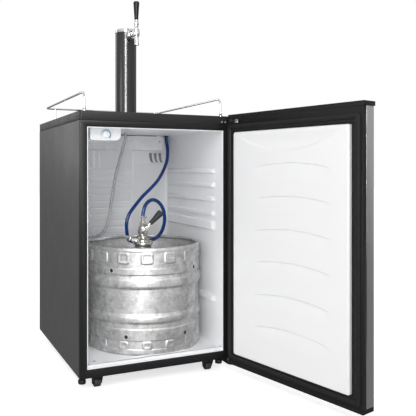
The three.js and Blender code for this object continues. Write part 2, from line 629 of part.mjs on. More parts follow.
// a caster's fork swivels on the vertical line above it, and its wheel trails behind that line
function makeCaster(name, x, y) {
  const wheelRadius = 14;
  const trail = 6;
  const axle = -FLOOR_DROP + wheelRadius;
  const centre = y + trail;
  const topDisc = rod([x, y, -7], [x, y, -GAP], 17, 16);
  const cheeks = [-1, 1].map((side) => {
    const shape = new THREE.Shape([[-15, -4], [17, -4], [trail + 6, axle - 5], [trail - 6, axle - 5]]
      .map(([a, b]) => new THREE.Vector2(a, b)));
    const cheek = new THREE.ExtrudeGeometry(shape, { depth: 3.5, bevelEnabled: false });
    cheek.rotateX(Math.PI / 2);
    cheek.rotateZ(Math.PI / 2);
    return cheek.translate(x + (side > 0 ? 10.8 : -14.3), y, 0);
  });
  const pin = rod([x - 12, centre, axle], [x + 12, centre, axle], 2.6, 12);
  piece(`${name}_fork`, join(topDisc, ...cheeks, pin), BLACK_PLASTIC);
  const tyre = closed([[3, -10], [wheelRadius - 1, -10], [wheelRadius, -9],
    [wheelRadius, 9], [wheelRadius - 1, 10], [3, 10]]);
  const wheel = new THREE.LatheGeometry(tyre.map(([radius, a]) => new THREE.Vector2(radius, a)), 16);
  piece(`${name}_wheel`, wheel.rotateZ(Math.PI / 2).translate(x, centre, axle), RUBBER);
}

function makeCasters() {
  const [left, right, front, rear] = [63, 445, 30, 545];
  makeCaster('caster_front_left', left, front);
  makeCaster('caster_front_right', right, front);
  makeCaster('caster_rear_left', left, rear);
  makeCaster('caster_rear_right', right, rear);
}

// ---------------------------------------------------------------- assembly

makeCabinet();
makeGuardRail();
makeThermostat();
makeEvaporatorCover();
makeFan();
makeMachineBay();
makeDripTray();
makeTower();
makeShank();
makeFaucet();
makeKeg();
makeCoupler();
makeCouplerLever();
makeHoses();
makeDoor();
makeHinges();
makeLevellingFeet();
makeCasters();

const box = new THREE.Box3().setFromObject(kegerator, true);
cabinet.position.set(-(box.min.x + box.max.x) / 2, -(box.min.y + box.max.y) / 2, -box.min.z);

export default kegerator;
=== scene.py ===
"""A kegerator with its door open and a keg inside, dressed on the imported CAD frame.

Lengths are millimetres in cabinet coordinates unless a name says otherwise: x from the left side to
the right, y from the front to the back, z up from the underside of the cabinet. Pieces on the door
are drawn with the door shut, measured from its hinge axis, and turned open by door_place().
"""

import json
import math

import bmesh
import bpy
import numpy as np
from mathutils import Matrix, Vector

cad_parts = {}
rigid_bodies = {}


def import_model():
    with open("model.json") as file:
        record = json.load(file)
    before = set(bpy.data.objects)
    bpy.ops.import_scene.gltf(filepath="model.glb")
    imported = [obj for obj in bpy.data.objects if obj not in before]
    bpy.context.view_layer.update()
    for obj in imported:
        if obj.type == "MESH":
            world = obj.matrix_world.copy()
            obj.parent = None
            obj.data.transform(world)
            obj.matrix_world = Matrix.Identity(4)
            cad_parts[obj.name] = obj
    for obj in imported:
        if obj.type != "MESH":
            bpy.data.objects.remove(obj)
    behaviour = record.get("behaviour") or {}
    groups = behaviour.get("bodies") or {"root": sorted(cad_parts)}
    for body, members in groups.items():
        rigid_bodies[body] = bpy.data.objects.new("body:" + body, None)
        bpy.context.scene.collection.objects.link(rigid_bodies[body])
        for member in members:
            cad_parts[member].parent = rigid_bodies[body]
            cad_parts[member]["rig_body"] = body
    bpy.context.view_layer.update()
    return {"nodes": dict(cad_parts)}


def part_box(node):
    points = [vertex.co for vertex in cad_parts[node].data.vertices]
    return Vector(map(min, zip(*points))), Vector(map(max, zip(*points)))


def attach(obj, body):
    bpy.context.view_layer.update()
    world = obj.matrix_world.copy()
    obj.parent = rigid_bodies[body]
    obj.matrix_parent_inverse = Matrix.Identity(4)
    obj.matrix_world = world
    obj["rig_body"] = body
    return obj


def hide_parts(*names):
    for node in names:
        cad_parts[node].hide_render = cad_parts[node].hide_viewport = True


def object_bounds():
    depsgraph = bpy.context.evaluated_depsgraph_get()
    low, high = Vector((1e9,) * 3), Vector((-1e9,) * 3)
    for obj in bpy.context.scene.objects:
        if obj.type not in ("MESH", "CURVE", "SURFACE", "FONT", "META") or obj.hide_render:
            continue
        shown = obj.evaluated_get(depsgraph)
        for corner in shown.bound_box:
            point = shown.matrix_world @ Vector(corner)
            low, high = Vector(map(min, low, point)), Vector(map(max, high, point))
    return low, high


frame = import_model()
NODES = frame["nodes"]
ORIGIN = np.array(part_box("cabinet_shell")[0])

# ---------------------------------------------------------------- dimensions shared with the CAD

FRONT_FACE = float(ORIGIN[1])
LINER = {"left": 25.3, "right": 484.7, "low": 37, "high": 761}
RIB_HEIGHTS = [(619, 625), (571, 577), (523, 529), (474, 480), (426, 448), (182, 194)]
TOWER_X, TOWER_Y, TOWER_R = 255, 308, 38
SHANK_Z, FAUCET_Y = 1105, 200
DIAL_X, DIAL_Z = 91, 735
KEG_X, KEG_Y, CHIME_R = 282, 207, 197
HINGE_X, HINGE_Y = 506, -19
DOOR_OPEN = math.radians(103.25)
PANEL = {"free": -471, "hinge": -31, "face": 22, "low": 30.5, "high": 747.6}
BLUE_R, CLEAR_R = 6.3, 5.5

BLUE_ROUTE = [
    (282, 207, 456), (282, 207, 464), (283.5, 207.5, 475), (287, 209, 488), (295, 213, 503),
    (308, 219, 514), (325, 227, 519), (343, 234, 516), (358, 239, 507), (371, 243, 492),
    (380, 247, 473), (384, 251, 445), (381, 256, 417), (373, 262, 395), (361, 270, 379),
    (343, 282, 369), (318, 290, 365), (292, 291, 364), (268, 284, 368), (251, 270, 378),
    (242, 257, 396), (236, 247, 417), (236, 244, 446), (247, 247, 471), (275, 259, 501),
    (311, 280, 531), (355, 309, 559), (397, 342, 588), (433, 374, 625), (458, 398, 664),
    (467, 413, 707), (467, 423, 736), (466, 424, 750), (466, 424, 757.6),
]
CLEAR_ROUTE = [
    (225, 203, 391.5), (208, 201, 399), (188, 198, 402), (165, 196, 399), (140, 198, 394),
    (117, 206, 390.5), (100, 221, 389), (92, 243, 388.5), (97, 266, 388), (112, 285, 388),
    (133, 299, 388.5), (153, 309, 392), (171, 318, 401), (184, 324, 417), (194, 329, 439),
    (201, 331, 468), (206, 331, 505), (212, 330, 547), (221, 325, 600), (232, 318, 651),
    (243, 311, 700), (251, 308, 732), (254, 308, 765), (255, 311, 810), (255, 322, 870),
    (255, 332, 930), (255, 336, 990), (255, 336, 1061), (255, 332.6, 1078), (255, 323.1, 1092.1),
    (255, 310, 1101.7), (255, 299, 1105), (255, 290.4, 1105),
]

# ---------------------------------------------------------------- placing


def cabinet_place(points):
    """Cabinet millimetres to metres in the row frame."""
    return np.asarray(points, float).reshape(-1, 3) * 0.001 + ORIGIN


def door_place(points):
    """Door millimetres, measured from the hinge axis with the door shut, to metres in the row frame."""
    p = np.asarray(points, float).reshape(-1, 3)
    c, s = math.cos(DOOR_OPEN), math.sin(DOOR_OPEN)
    x = HINGE_X + c * p[:, 0] - s * p[:, 1]
    y = HINGE_Y + s * p[:, 0] + c * p[:, 1]
    return cabinet_place(np.stack([x, y, p[:, 2]], 1))


# ---------------------------------------------------------------- camera, light and stage


def make_camera():
    data = bpy.data.cameras.new("camera")
    data.lens = 50.057
    data.sensor_width = 36
    data.shift_x = 0.10096
    data.shift_y = -0.09162
    camera = bpy.data.objects.new("camera", data)
    camera.location = (-0.785742, -1.722869, 0.665878)
    camera.rotation_euler = (math.radians(90), 0, math.radians(-23.6116))
    bpy.context.scene.collection.objects.link(camera)
    bpy.context.scene.camera = camera


def area_light(name, place, aim, size, watts):
    data = bpy.data.lights.new(name, "AREA")
    data.shape = "RECTANGLE"
    data.size, data.size_y = size
    data.energy = watts
    light = bpy.data.objects.new(name, data)
    light.location = place
    light.rotation_euler = (Vector(aim) - Vector(place)).to_track_quat("-Z", "Y").to_euler()
    bpy.context.scene.collection.objects.link(light)
    return light


# What reflections see of the studio: (where, grey level). LEVELS_AROUND runs from behind the object (0)
# round to the key light's side (1), LEVELS_UP from straight below to straight above.
KEY_SIDE = (-0.40, -0.916, 0)
LEVELS_AROUND = [(0.0, 0.15), (0.10, 0.30), (0.30, 0.42), (0.42, 0.34), (0.50, 0.10), (0.58, 0.22),
                 (0.70, 0.55), (0.80, 0.42), (0.90, 0.85), (0.97, 1.0)]
LEVELS_UP = [(0.0, 0.22), (0.40, 0.24), (0.47, 0.34), (0.53, 0.80), (0.62, 0.85), (0.80, 1.0)]
DIM_BEHIND = [(0.03, 0.30), (0.20, 0.9), (0.62, 1.0)]
PANEL_SHARE = 0.55
SOFT_GREY = (0.58, 0.58, 0.585)


def make_world():
    """White to the camera, soft grey for light, and a studio of panels and dark flags for reflections."""
    world = bpy.data.worlds.new("studio")
    bpy.context.scene.world = world
    world.use_nodes = True
    tree = world.node_tree
    new, link = tree.nodes.new, tree.links.new
    background = tree.nodes["Background"]
    place = new("ShaderNodeTexCoord").outputs["Generated"]
    front = new("ShaderNodeVectorMath")
    front.operation = "DOT_PRODUCT"
    front.inputs[1].default_value = KEY_SIDE
    link(place, front.inputs[0])
    facing = halved(tree, front.outputs["Value"])
    height = new("ShaderNodeSeparateXYZ")
    link(place, height.inputs["Vector"])
    rise = ramped(tree, halved(tree, height.outputs["Z"]), LEVELS_UP)
    panels = mixed(tree, "MULTIPLY", 1.0, rise, ramped(tree, facing, DIM_BEHIND))
    lifted = mixed(tree, "MIX", PANEL_SHARE, ramped(tree, facing, LEVELS_AROUND), panels)
    path = new("ShaderNodeLightPath")
    soft = mixed(tree, "MIX", path.outputs["Is Glossy Ray"], SOFT_GREY, lifted)
    seen = mixed(tree, "MIX", path.outputs["Is Camera Ray"], soft, (1, 1, 1))
    link(seen, background.inputs["Color"])
    background.inputs["Strength"].default_value = 1.0


def halved(tree, value):
    """A value from -1 to 1 brought to 0 to 1."""
    fit = tree.nodes.new("ShaderNodeMath")
    fit.operation = "MULTIPLY_ADD"
    fit.inputs[1].default_value = 0.5
    fit.inputs[2].default_value = 0.5
    tree.links.new(value, fit.inputs[0])
    return fit.outputs["Value"]


def ramped(tree, factor, stops):
    """Colours or grey levels along a factor from 0 to 1: stops are (position, value)."""
    node = tree.nodes.new("ShaderNodeValToRGB")
    elements = node.color_ramp.elements
    while len(elements) < len(stops):
        elements.new(0.5)
    for element, (position, value) in zip(elements, stops):
        element.position = position
        grey = isinstance(value, (int, float))
        element.color = (value, value, value, 1) if grey else (*value, 1)
    tree.links.new(factor, node.inputs["Fac"])
    return node.outputs["Color"]


def mixed(tree, mode, factor, a, b):
    """One colour mixed with another: each of factor, a and b is a socket or a constant."""
    node = tree.nodes.new("ShaderNodeMix")
    node.data_type = "RGBA"
    node.blend_type = mode
    for value, key in ((factor, 0), (a, 6), (b, 7)):
        if hasattr(value, "links"):
            tree.links.new(value, node.inputs[key])
        elif isinstance(value, (int, float)):
            node.inputs[key].default_value = value
        else:
            node.inputs[key].default_value = (*value, 1)
    return node.outputs[2]


# Place, aim, size in metres and watts. The strip shows in reflections only, down the tower.
LIGHTS = {
    "key": ((-1.5, -3.0, 2.6), (0, 0, 0.5), (1.3, 1.3), 42),
    "front_fill": ((-1.6, -2.9, 0.9), (0.0, 0.1, 0.45), (1.0, 1.4), 14),
    "column_strip": ((-0.95, -2.1, 1.35), (-0.05, 0.25, 0.95), (0.19, 1.5), 62),
    "left_fill": ((-3.0, -0.6, 1.0), (-0.3, 0.2, 0.4), (1.2, 1.2), 13),
    "back_strip": ((-1.2, 2.4, 1.7), (0, 0, 0.7), (0.5, 1.8), 6),
}


def make_stage():
    make_world()
    bpy.context.scene.view_settings.view_transform = "Standard"
    lights = {name: area_light(name, *setting) for name, setting in LIGHTS.items()}
    lights["column_strip"].visible_diffuse = False
    bpy.ops.mesh.primitive_plane_add(size=30)
    floor = bpy.context.object
    floor.name = "floor"
    floor.location.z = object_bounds()[0].z - 0.0005
    floor.data.materials.append(stage_material())
    floor.visible_glossy = False


def stage_material():
    material = bpy.data.materials.new("pale_floor")
    material.use_nodes = True
    shader = material.node_tree.nodes["Principled BSDF"]
    shader.inputs["Base Color"].default_value = (0.92, 0.92, 0.92, 1)
    shader.inputs["Emission Color"].default_value = (1, 1, 1, 1)
    path = material.node_tree.nodes.new("ShaderNodeLightPath")
    strength = material.node_tree.nodes.new("ShaderNodeMapRange")
    strength.inputs["To Min"].default_value = 0.12
    strength.inputs["To Max"].default_value = 0.6
    material.node_tree.links.new(path.outputs["Is Camera Ray"], strength.inputs["Value"])
    material.node_tree.links.new(strength.outputs["Result"], shader.inputs["Emission Strength"])
    shader.inputs["Roughness"].default_value = 0.9
    shader.inputs["Specular IOR Level"].default_value = 0.1
    return material


# ---------------------------------------------------------------- materials


class Nodes:
    """A small builder for one procedural material."""

    def __init__(self, name):
        self.material = bpy.data.materials.new(name)
        self.material.use_nodes = True
        self.tree = self.material.node_tree
        self.shader = self.tree.nodes["Principled BSDF"]
        self.place = self.add("ShaderNodeTexCoord").outputs["Object"]

    def add(self, kind, **inputs):
        node = self.tree.nodes.new(kind)
        for key, value in inputs.items():
            node.inputs[key.replace("_", " ")].default_value = value
        return node

    def link(self, output, target):
        self.tree.links.new(output, target)

    def set(self, **values):
        for key, value in values.items():
            self.shader.inputs[key.replace("_", " ")].default_value = value

    def noise(self, scale, detail=4, roughness=0.55, stretch=(1, 1, 1), distortion=0):
        mapping = self.add("ShaderNodeMapping", Scale=stretch)
        self.link(self.place, mapping.inputs["Vector"])
        noise = self.add("ShaderNodeTexNoise", Scale=scale, Detail=detail, Roughness=roughness,
                         Distortion=distortion)
        self.link(mapping.outputs["Vector"], noise.inputs["Vector"])
        return noise.outputs["Fac"]

    def ramp(self, factor, *stops):
        return ramped(self.tree, factor, stops)

    def mix(self, factor, a, b, mode="MIX"):
        return mixed(self.tree, mode, factor, a, b)

    def bump(self, height, strength, distance=0.0005):
        node = self.add("ShaderNodeBump", Strength=strength, Distance=distance)
        self.link(height, node.inputs["Height"])
        if self.shader.inputs["Normal"].links:
            self.link(self.shader.inputs["Normal"].links[0].from_socket, node.inputs["Normal"])
        self.link(node.outputs["Normal"], self.shader.inputs["Normal"])

    def color(self, output):
        self.link(output, self.shader.inputs["Base Color"])

    def rough(self, output):
        self.link(output, self.shader.inputs["Roughness"])


def shade(color, amount):
    return tuple(max(0.0, min(1.0, c * amount)) for c in color)


def surface(name, color, rough=(0.35, 0.5), metal=0.0, grain=(900, 0.2), mottle=(9, 0.08),
            stretch=(1, 1, 1), distance=0.0003, **extra):
    """A finish with mottled colour, uneven gloss and a fine grain."""
    n = Nodes(name)
    n.set(Metallic=metal, **extra)
    cloud = n.noise(mottle[0], 5, 0.6, stretch)
    n.color(n.ramp(cloud, (0.3, shade(color, 1 - mottle[1])), (0.7, shade(color, 1 + mottle[1]))))
    n.rough(n.ramp(n.noise(mottle[0] * 5, 3, 0.5, stretch), (0.35, rough[0]), (0.7, rough[1])))
    n.bump(n.noise(grain[0], 2, 0.5, stretch), grain[1], distance)
    return n.material


def banded(material, axis, low, high, *stops):
    """Multiply a finish's colour by grey levels along one axis, between two places in metres."""
    tree = material.node_tree
    base = tree.nodes["Principled BSDF"].inputs["Base Color"]
    split = tree.nodes.new("ShaderNodeSeparateXYZ")
    place = next(node for node in tree.nodes if node.bl_idname == "ShaderNodeTexCoord")
    tree.links.new(place.outputs["Object"], split.inputs["Vector"])
    fit = tree.nodes.new("ShaderNodeMapRange")
    fit.inputs["From Min"].default_value = low
    fit.inputs["From Max"].default_value = high
    tree.links.new(split.outputs[axis], fit.inputs["Value"])
    levels = ramped(tree, fit.outputs["Result"], stops)
    tree.links.new(mixed(tree, "MULTIPLY", 1.0, base.links[0].from_socket, levels), base)


def worn(name, color, edge, **more):
    """A painted finish whose edges have rubbed lighter."""
    material = surface(name, color, **more)
    tree = material.node_tree
    base = tree.nodes["Principled BSDF"].inputs["Base Color"]
    geometry = tree.nodes.new("ShaderNodeNewGeometry")
    edges = ramped(tree, geometry.outputs["Pointiness"], [(0.52, 0.0), (0.62, 1.0)])
    tree.links.new(mixed(tree, "MIX", edges, base.links[0].from_socket, edge), base)
    return material


def keg_material():
    """Satin steel, mottled by age, with scuffs round it and dull patches."""
    n = Nodes("keg_steel")
    n.set(Metallic=1.0)
    cloud = n.noise(34, 8, 0.68, distortion=0.4)
    blotch = n.noise(7, 4, 0.6, distortion=0.8)
    base = n.ramp(cloud, (0.34, (0.38, 0.379, 0.377)), (0.5, (0.57, 0.57, 0.567)),
                  (0.66, (0.72, 0.72, 0.716)))
    dull = n.ramp(blotch, (0.38, (0.86, 0.855, 0.86)), (0.62, (1.0, 1.0, 1.0)))
    tinted = n.mix(1.0, base, dull, "MULTIPLY")
    scuff = n.ramp(n.noise(60, 4, 0.6, (0.4, 0.4, 6)), (0.58, 0.0), (0.70, 0.6))
    scuffed = n.mix(scuff, tinted, (0.84, 0.84, 0.84))
    speck = n.ramp(n.noise(260, 3, 0.7), (0.66, 0.0), (0.74, 0.7))
    n.color(n.mix(speck, scuffed, (0.34, 0.34, 0.34)))
    n.rough(n.ramp(cloud, (0.3, 0.58), (0.7, 0.42)))
    n.bump(n.noise(420, 3, 0.6), 0.25, 0.0005)
    n.bump(n.noise(34, 3, 0.5), 0.2, 0.0012)
    return n.material


def brushed_material(name, color, stretch, rough):
    """Sheet steel with fine parallel brushing."""
    n = Nodes(name)
    n.set(Metallic=1.0, Anisotropic=0.4)
    lines = n.noise(1500, 3, 0.7, stretch)
    wide = n.noise(3, 3, 0.5)
    tint = n.ramp(lines, (0.3, shade(color, 0.9)), (0.7, shade(color, 1.08)))
    n.color(n.mix(n.ramp(wide, (0.3, 0.0), (0.7, 0.35)), tint, shade(color, 0.82)))
    n.rough(n.ramp(lines, (0.3, rough - 0.06), (0.7, rough + 0.08)))
    n.bump(lines, 0.18, 0.0002)
    return n.material


def hose_material(name, color, deep, **extra):
    n = Nodes(name)
    n.set(**extra)
    cloud = n.noise(14, 3, 0.5)
    n.color(n.ramp(cloud, (0.35, deep), (0.65, color)))
    n.rough(n.ramp(n.noise(220, 2, 0.5), (0.3, 0.22), (0.7, 0.34)))
    n.bump(n.noise(800, 2, 0.5), 0.03, 0.0001)
    return n.material


def dial_material():
    """The printed temperature ring, pale to deep blue along its sweep."""
    n = Nodes("dial_blue")
    centre = cabinet_place([DIAL_X, 29, DIAL_Z])[0]
    mapping = n.add("ShaderNodeMapping", Location=tuple(-centre))
    n.link(n.place, mapping.inputs["Vector"])
    parts = n.add("ShaderNodeSeparateXYZ")
    n.link(mapping.outputs["Vector"], parts.inputs["Vector"])
    sweep = n.add("ShaderNodeMapRange")
    for key, value in (("From Min", -0.014), ("From Max", 0.014)):
        sweep.inputs[key].default_value = value
    n.link(parts.outputs["X"], sweep.inputs["Value"])
    n.color(n.ramp(sweep.outputs["Result"], (0.0, (0.42, 0.66, 0.80)), (0.5, (0.03, 0.24, 0.42)),
                   (1.0, (0.01, 0.20, 0.42))))
    n.rough(n.ramp(n.noise(300), (0.3, 0.35), (0.7, 0.45)))
    return n.material


def make_materials():
    """Every finish on the object, by name."""
    m = {}
    m["enamel"] = worn("charcoal_enamel", (0.050, 0.050, 0.051), (0.080, 0.080, 0.081), rough=(0.40, 0.48),
                       grain=(1500, 0.35), mottle=(2.2, 0.05), distance=0.0002, Specular_IOR_Level=0.35)
    # Whatever wears this finish within 10 mm of the cabinet's front, the front frame and the hinge brackets,
    # is drawn at a tenth of its colour, back to full colour 15 mm behind the front.
    banded(m["enamel"], "Y", FRONT_FACE, FRONT_FACE + 0.05, (0.0, 0.10), (0.2, 0.10), (0.3, 1.0))
    m["worktop"] = worn("worktop_black", (0.018, 0.018, 0.0185), (0.04, 0.04, 0.04), rough=(0.40, 0.48),
                        grain=(1300, 0.4), mottle=(2.5, 0.06), distance=0.0002, Specular_IOR_Level=0.25)
    # The liner and the door panel are one white plastic in two greys, as painted light and shade: the door
    # panel's is drawn darker because the open door stands in more light, and the liner's lighter because the
    # cabinet's inside stands in shade.
    m["liner"] = surface("liner_white_painted_lighter", (0.915, 0.925, 0.937), rough=(0.31, 0.36), grain=(260, 0.05),
                         mottle=(3, 0.02), distance=0.0004)
    m["door_white"] = surface("door_panel_white_painted_darker", (0.83, 0.83, 0.833), rough=(0.29, 0.33), grain=(240, 0.03),
                              mottle=(3, 0.004), distance=0.0004)
    m["white"] = surface("white_plastic", (0.86, 0.87, 0.89), rough=(0.25, 0.35), grain=(500, 0.08),
                         mottle=(6, 0.02))
    m["black"] = surface("black_plastic", (0.0085, 0.0085, 0.0085), rough=(0.42, 0.52), grain=(900, 0.25),
                         mottle=(8, 0.15), distance=0.0002, Specular_IOR_Level=0.25)
    m["gasket"] = surface("gasket_vinyl", (0.011, 0.011, 0.011), rough=(0.42, 0.52), grain=(700, 0.12),
                          mottle=(10, 0.15), distance=0.0002, Specular_IOR_Level=0.3)
    m["gloss"] = surface("tower_gloss", (0.019, 0.019, 0.019), rough=(0.21, 0.23), grain=(500, 0.01),
                         mottle=(4, 0.08), distance=0.00005, Specular_IOR_Level=0.55)
    m["chrome"] = surface("chrome", (0.84, 0.84, 0.85), rough=(0.06, 0.12), metal=1.0, grain=(300, 0.02),
                          mottle=(30, 0.04), distance=0.0001)
    m["nickel"] = surface("worn_nickel", (0.62, 0.60, 0.565), rough=(0.12, 0.34), metal=1.0,
                          grain=(500, 0.15), mottle=(60, 0.14))
    m["zinc"] = surface("zinc_steel", (0.50, 0.51, 0.53), rough=(0.30, 0.45), metal=1.0, grain=(500, 0.2),
                        mottle=(40, 0.12))
    m["skin"] = brushed_material("brushed_skin", (0.52, 0.52, 0.514), (1, 1, 0.012), 0.34)
    m["grate"] = brushed_material("brushed_grate", (0.66, 0.66, 0.65), (0.02, 1, 1), 0.55)
    m["keg"] = keg_material()
    m["rubber"] = surface("black_rubber", (0.022, 0.022, 0.022), rough=(0.55, 0.75), grain=(800, 0.4),
                          mottle=(20, 0.25))
    # Near-black for painted shadows in gaps, holes and the door's grip channel, and for the printed dial
    # ticks.
    m["dark"] = surface("shadow_and_print_black", (0.006, 0.006, 0.006), rough=(0.7, 0.8), mottle=(20, 0.2))
    m["vent_shade"] = surface("vent_shade", (0.26, 0.26, 0.27), rough=(0.6, 0.7), mottle=(60, 0.25))
    m["copper"] = surface("copper_tube", (0.72, 0.36, 0.22), rough=(0.25, 0.4), metal=1.0, grain=(300, 0.1),
                          mottle=(40, 0.15))
    m["blue"] = hose_material("blue_hose", (0.003, 0.050, 0.27), (0.002, 0.026, 0.15),
                              Specular_IOR_Level=0.3, Coat_Weight=0.2, Coat_Roughness=0.15)
    m["clear"] = hose_material("clear_hose", (0.56, 0.57, 0.58), (0.46, 0.47, 0.48),
                               Transmission_Weight=0.25, IOR=1.45)
    m["dial"] = dial_material()
    m["foam"] = surface("foam", (0.30, 0.295, 0.28), rough=(0.8, 0.95), grain=(400, 0.6), mottle=(30, 0.1))
    return m


# ---------------------------------------------------------------- shapes


def smoothstep(x):
    x = np.clip(x, 0, 1)
    return x * x * (3 - 2 * x)


def plateau(x, low, high, soft):
    """1 between low and high, falling smoothly to 0 over soft outside them."""
    return smoothstep((x - low + soft) / soft) * smoothstep((high + soft - x) / soft)


def spaced(points, step):
    """Points about step apart on a smooth curve through the given ones."""
    p = [Vector(q) for q in points]
    p = [p[0] * 2 - p[1], *p, p[-1] * 2 - p[-2]]
    out = []
    for a, b, c, d in zip(p, p[1:], p[2:], p[3:]):
        count = max(2, round((c - b).length / step))
        for i in range(count):
            out.append(centripetal(a, b, c, d, i / count))
    out.append(p[-2])
    return [tuple(q) for q in out]


def centripetal(a, b, c, d, t):
    """A point on the centripetal Catmull-Rom span from b to c."""
    t0 = 0.0
    t1 = t0 + math.sqrt((b - a).length)
    t2 = t1 + math.sqrt((c - b).length)
    t3 = t2 + math.sqrt((d - c).length)
    u = t1 + (t2 - t1) * t

    def blend(p, q, low, high):
        return p * ((high - u) / (high - low)) + q * ((u - low) / (high - low))

    ab, bc, cd = blend(a, b, t0, t1), blend(b, c, t1, t2), blend(c, d, t2, t3)
    return blend(blend(ab, bc, t0, t2), blend(bc, cd, t1, t3), t1, t2)


def unit(vector):
    return vector / np.linalg.norm(vector)


def filleted(corners, radius, steps=6, closed=False):
    """A polyline whose corners are rounded to radius, in two or three dimensions."""
    c = [np.array(p, float) for p in corners]
    out = []
    for i, corner in enumerate(c):
        if not closed and i in (0, len(c) - 1):
            out.append(corner)
            continue
        back, ahead = unit(c[i - 1] - corner), unit(c[(i + 1) % len(c)] - corner)
        r = radius[i] if isinstance(radius, (list, tuple)) else radius
        angle = math.acos(np.clip(back @ ahead, -1, 1))
        reach = r / math.tan(angle / 2)
        start, end = corner + back * reach, corner + ahead * reach
        centre = corner + unit((start + end) / 2 - corner) * (r / math.sin(angle / 2))
        total = math.pi - angle
        a, b = start - centre, end - centre
        for k in range(steps + 1):
            t = k / steps
            out.append(centre + (a * math.sin((1 - t) * total) + b * math.sin(t * total)) / math.sin(total))
    return [tuple(p) for p in out]


class Shape:
    """Points and faces of one piece, gathered part by part."""

    def __init__(self):
        self.points, self.faces = [], []

    def add(self, points, faces):
        start = len(self.points)
        self.points += [tuple(map(float, p)) for p in points]
        self.faces += [tuple(start + i for i in face) for face in faces]
        return self

    def grid(self, points, wrap_rows=False, wrap_columns=False):
        """A surface through an array of points, rows by columns."""
        rows, columns = points.shape[:2]
        faces = []
        for i in range(rows - (0 if wrap_rows else 1)):
            for j in range(columns - (0 if wrap_columns else 1)):
                a, b = i * columns, (i + 1) % rows * columns
                k = (j + 1) % columns
                faces.append((a + j, a + k, b + k, b + j))
        return self.add(points.reshape(-1, 3), faces)

    def lathe(self, profile, base=(0, 0, 0), axis="z", sides=48, closed=False, turn=0):
        """A turned part: profile is (radius, distance along axis from base)."""
        angle = np.linspace(0, 2 * math.pi, sides, endpoint=False) + turn
        r = np.array([p[0] for p in profile], float)[:, None]
        along = np.repeat(np.array([p[1] for p in profile], float)[:, None], sides, 1)
        a, b = r * np.cos(angle), r * np.sin(angle)
        order = {"z": (a, b, along), "y": (b, along, a), "x": (along, a, b)}[axis]
        return self.grid(np.stack(order, -1) + np.array(base, float), closed, True)

    def prism(self, outline, low, high, axis="z"):
        """An outline of 2-D points drawn straight along an axis, with both ends closed."""
        count = len(outline)
        order = {"z": (0, 1, 2), "y": (0, 2, 1), "x": (2, 0, 1)}[axis]
        points = []
        for level in (low, high):
            for u, v in outline:
                flat = (u, v, level)
                points.append([flat[k] for k in order])
        sides = [(i, (i + 1) % count, (i + 1) % count + count, i + count) for i in range(count)]
        return self.add(points, [tuple(range(count))[::-1], tuple(range(count, 2 * count)), *sides])

    def box(self, low, high):
        (x0, y0, z0), (x1, y1, z1) = low, high
        return self.prism([(x0, y0), (x1, y0), (x1, y1), (x0, y1)], z0, z1)

    def tube(self, path, radius, sides=12, closed=False, capped=True):
        """A round tube along a path."""
        p = np.array(path, float)
        count = len(p)
        step = np.roll(p, -1, 0) - np.roll(p, 1, 0) if closed else np.gradient(p, axis=0)
        step /= np.linalg.norm(step, axis=1)[:, None]
        side = np.cross(step[0], (0.31, 0.17, 0.93))
        rings = []
        for i in range(count):
            side = side - step[i] * (side @ step[i])
            side /= np.linalg.norm(side)
            other = np.cross(step[i], side)
            r = radius[i] if hasattr(radius, "__len__") else radius
            angle = np.linspace(0, 2 * math.pi, sides, endpoint=False)
            rings.append(p[i] + r * (np.outer(np.cos(angle), side) + np.outer(np.sin(angle), other)))
        self.grid(np.array(rings), closed, True)
        if capped and not closed:
            start = len(self.points) - count * sides
            self.faces.append(tuple(start + j for j in range(sides))[::-1])
            self.faces.append(tuple(start + (count - 1) * sides + j for j in range(sides)))
        return self

    def screw(self, centre, axis, radius=4, height=1.6, facing=1):
        """A domed screw head with a round recess in its top, standing on centre along an axis."""
        k = "xyz".index(axis)
        dome = [(radius, 0), (radius, height * 0.35), (radius * 0.8, height * 0.8), (radius * 0.4, height),
                (radius * 0.38, height * 0.45), (0, height * 0.45)]
        profile = [(r, facing * along) for r, along in dome]
        self.lathe(profile, centre, axis, 20)
        return self

    def piece(self, name, material, body, *nodes, place=cabinet_place, bevel=0.0, smooth=38, segments=2,
              slot=None):
        """Makes the mesh: nodes are the CAD nodes that it replaces, if any."""
        data = bpy.data.meshes.new(name)
        data.from_pydata(place(self.points).tolist(), [], self.faces)
        return finished(name, data, material, body, nodes, bevel, smooth, segments)


def finished(name, data, material, body, nodes, bevel, smooth, segments, weld=True):
    """Cleans a mesh, shades it, rounds its edges and hangs it on its body."""
    bm = bmesh.new()
    bm.from_mesh(data)
    if weld:
        bmesh.ops.remove_doubles(bm, verts=bm.verts, dist=2e-6)
        bmesh.ops.dissolve_degenerate(bm, edges=bm.edges, dist=1e-7)
    bmesh.ops.recalc_face_normals(bm, faces=bm.faces)
    bm.to_mesh(data)
    bm.free()
    data.materials.clear()
    data.materials.append(material)
    data.shade_smooth()
    data.set_sharp_from_angle(angle=math.radians(smooth))
    obj = bpy.data.objects.new(name, data)
    bpy.context.scene.collection.objects.link(obj)
    if bevel:
        round_edges(obj, bevel, segments)
    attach(obj, body)
    if nodes:
        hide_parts(*nodes)
    return obj


def round_edges(obj, width_mm, segments):
    for edge in obj.data.edges:
        edge.use_edge_sharp = False
    bevel = obj.modifiers.new("rounded", "BEVEL")
    bevel.width = width_mm * 0.001
    bevel.segments = segments
    bevel.limit_method = "ANGLE"
    bevel.angle_limit = math.radians(32)
    bevel.harden_normals = True
    bevel.miter_outer = "MITER_ARC"


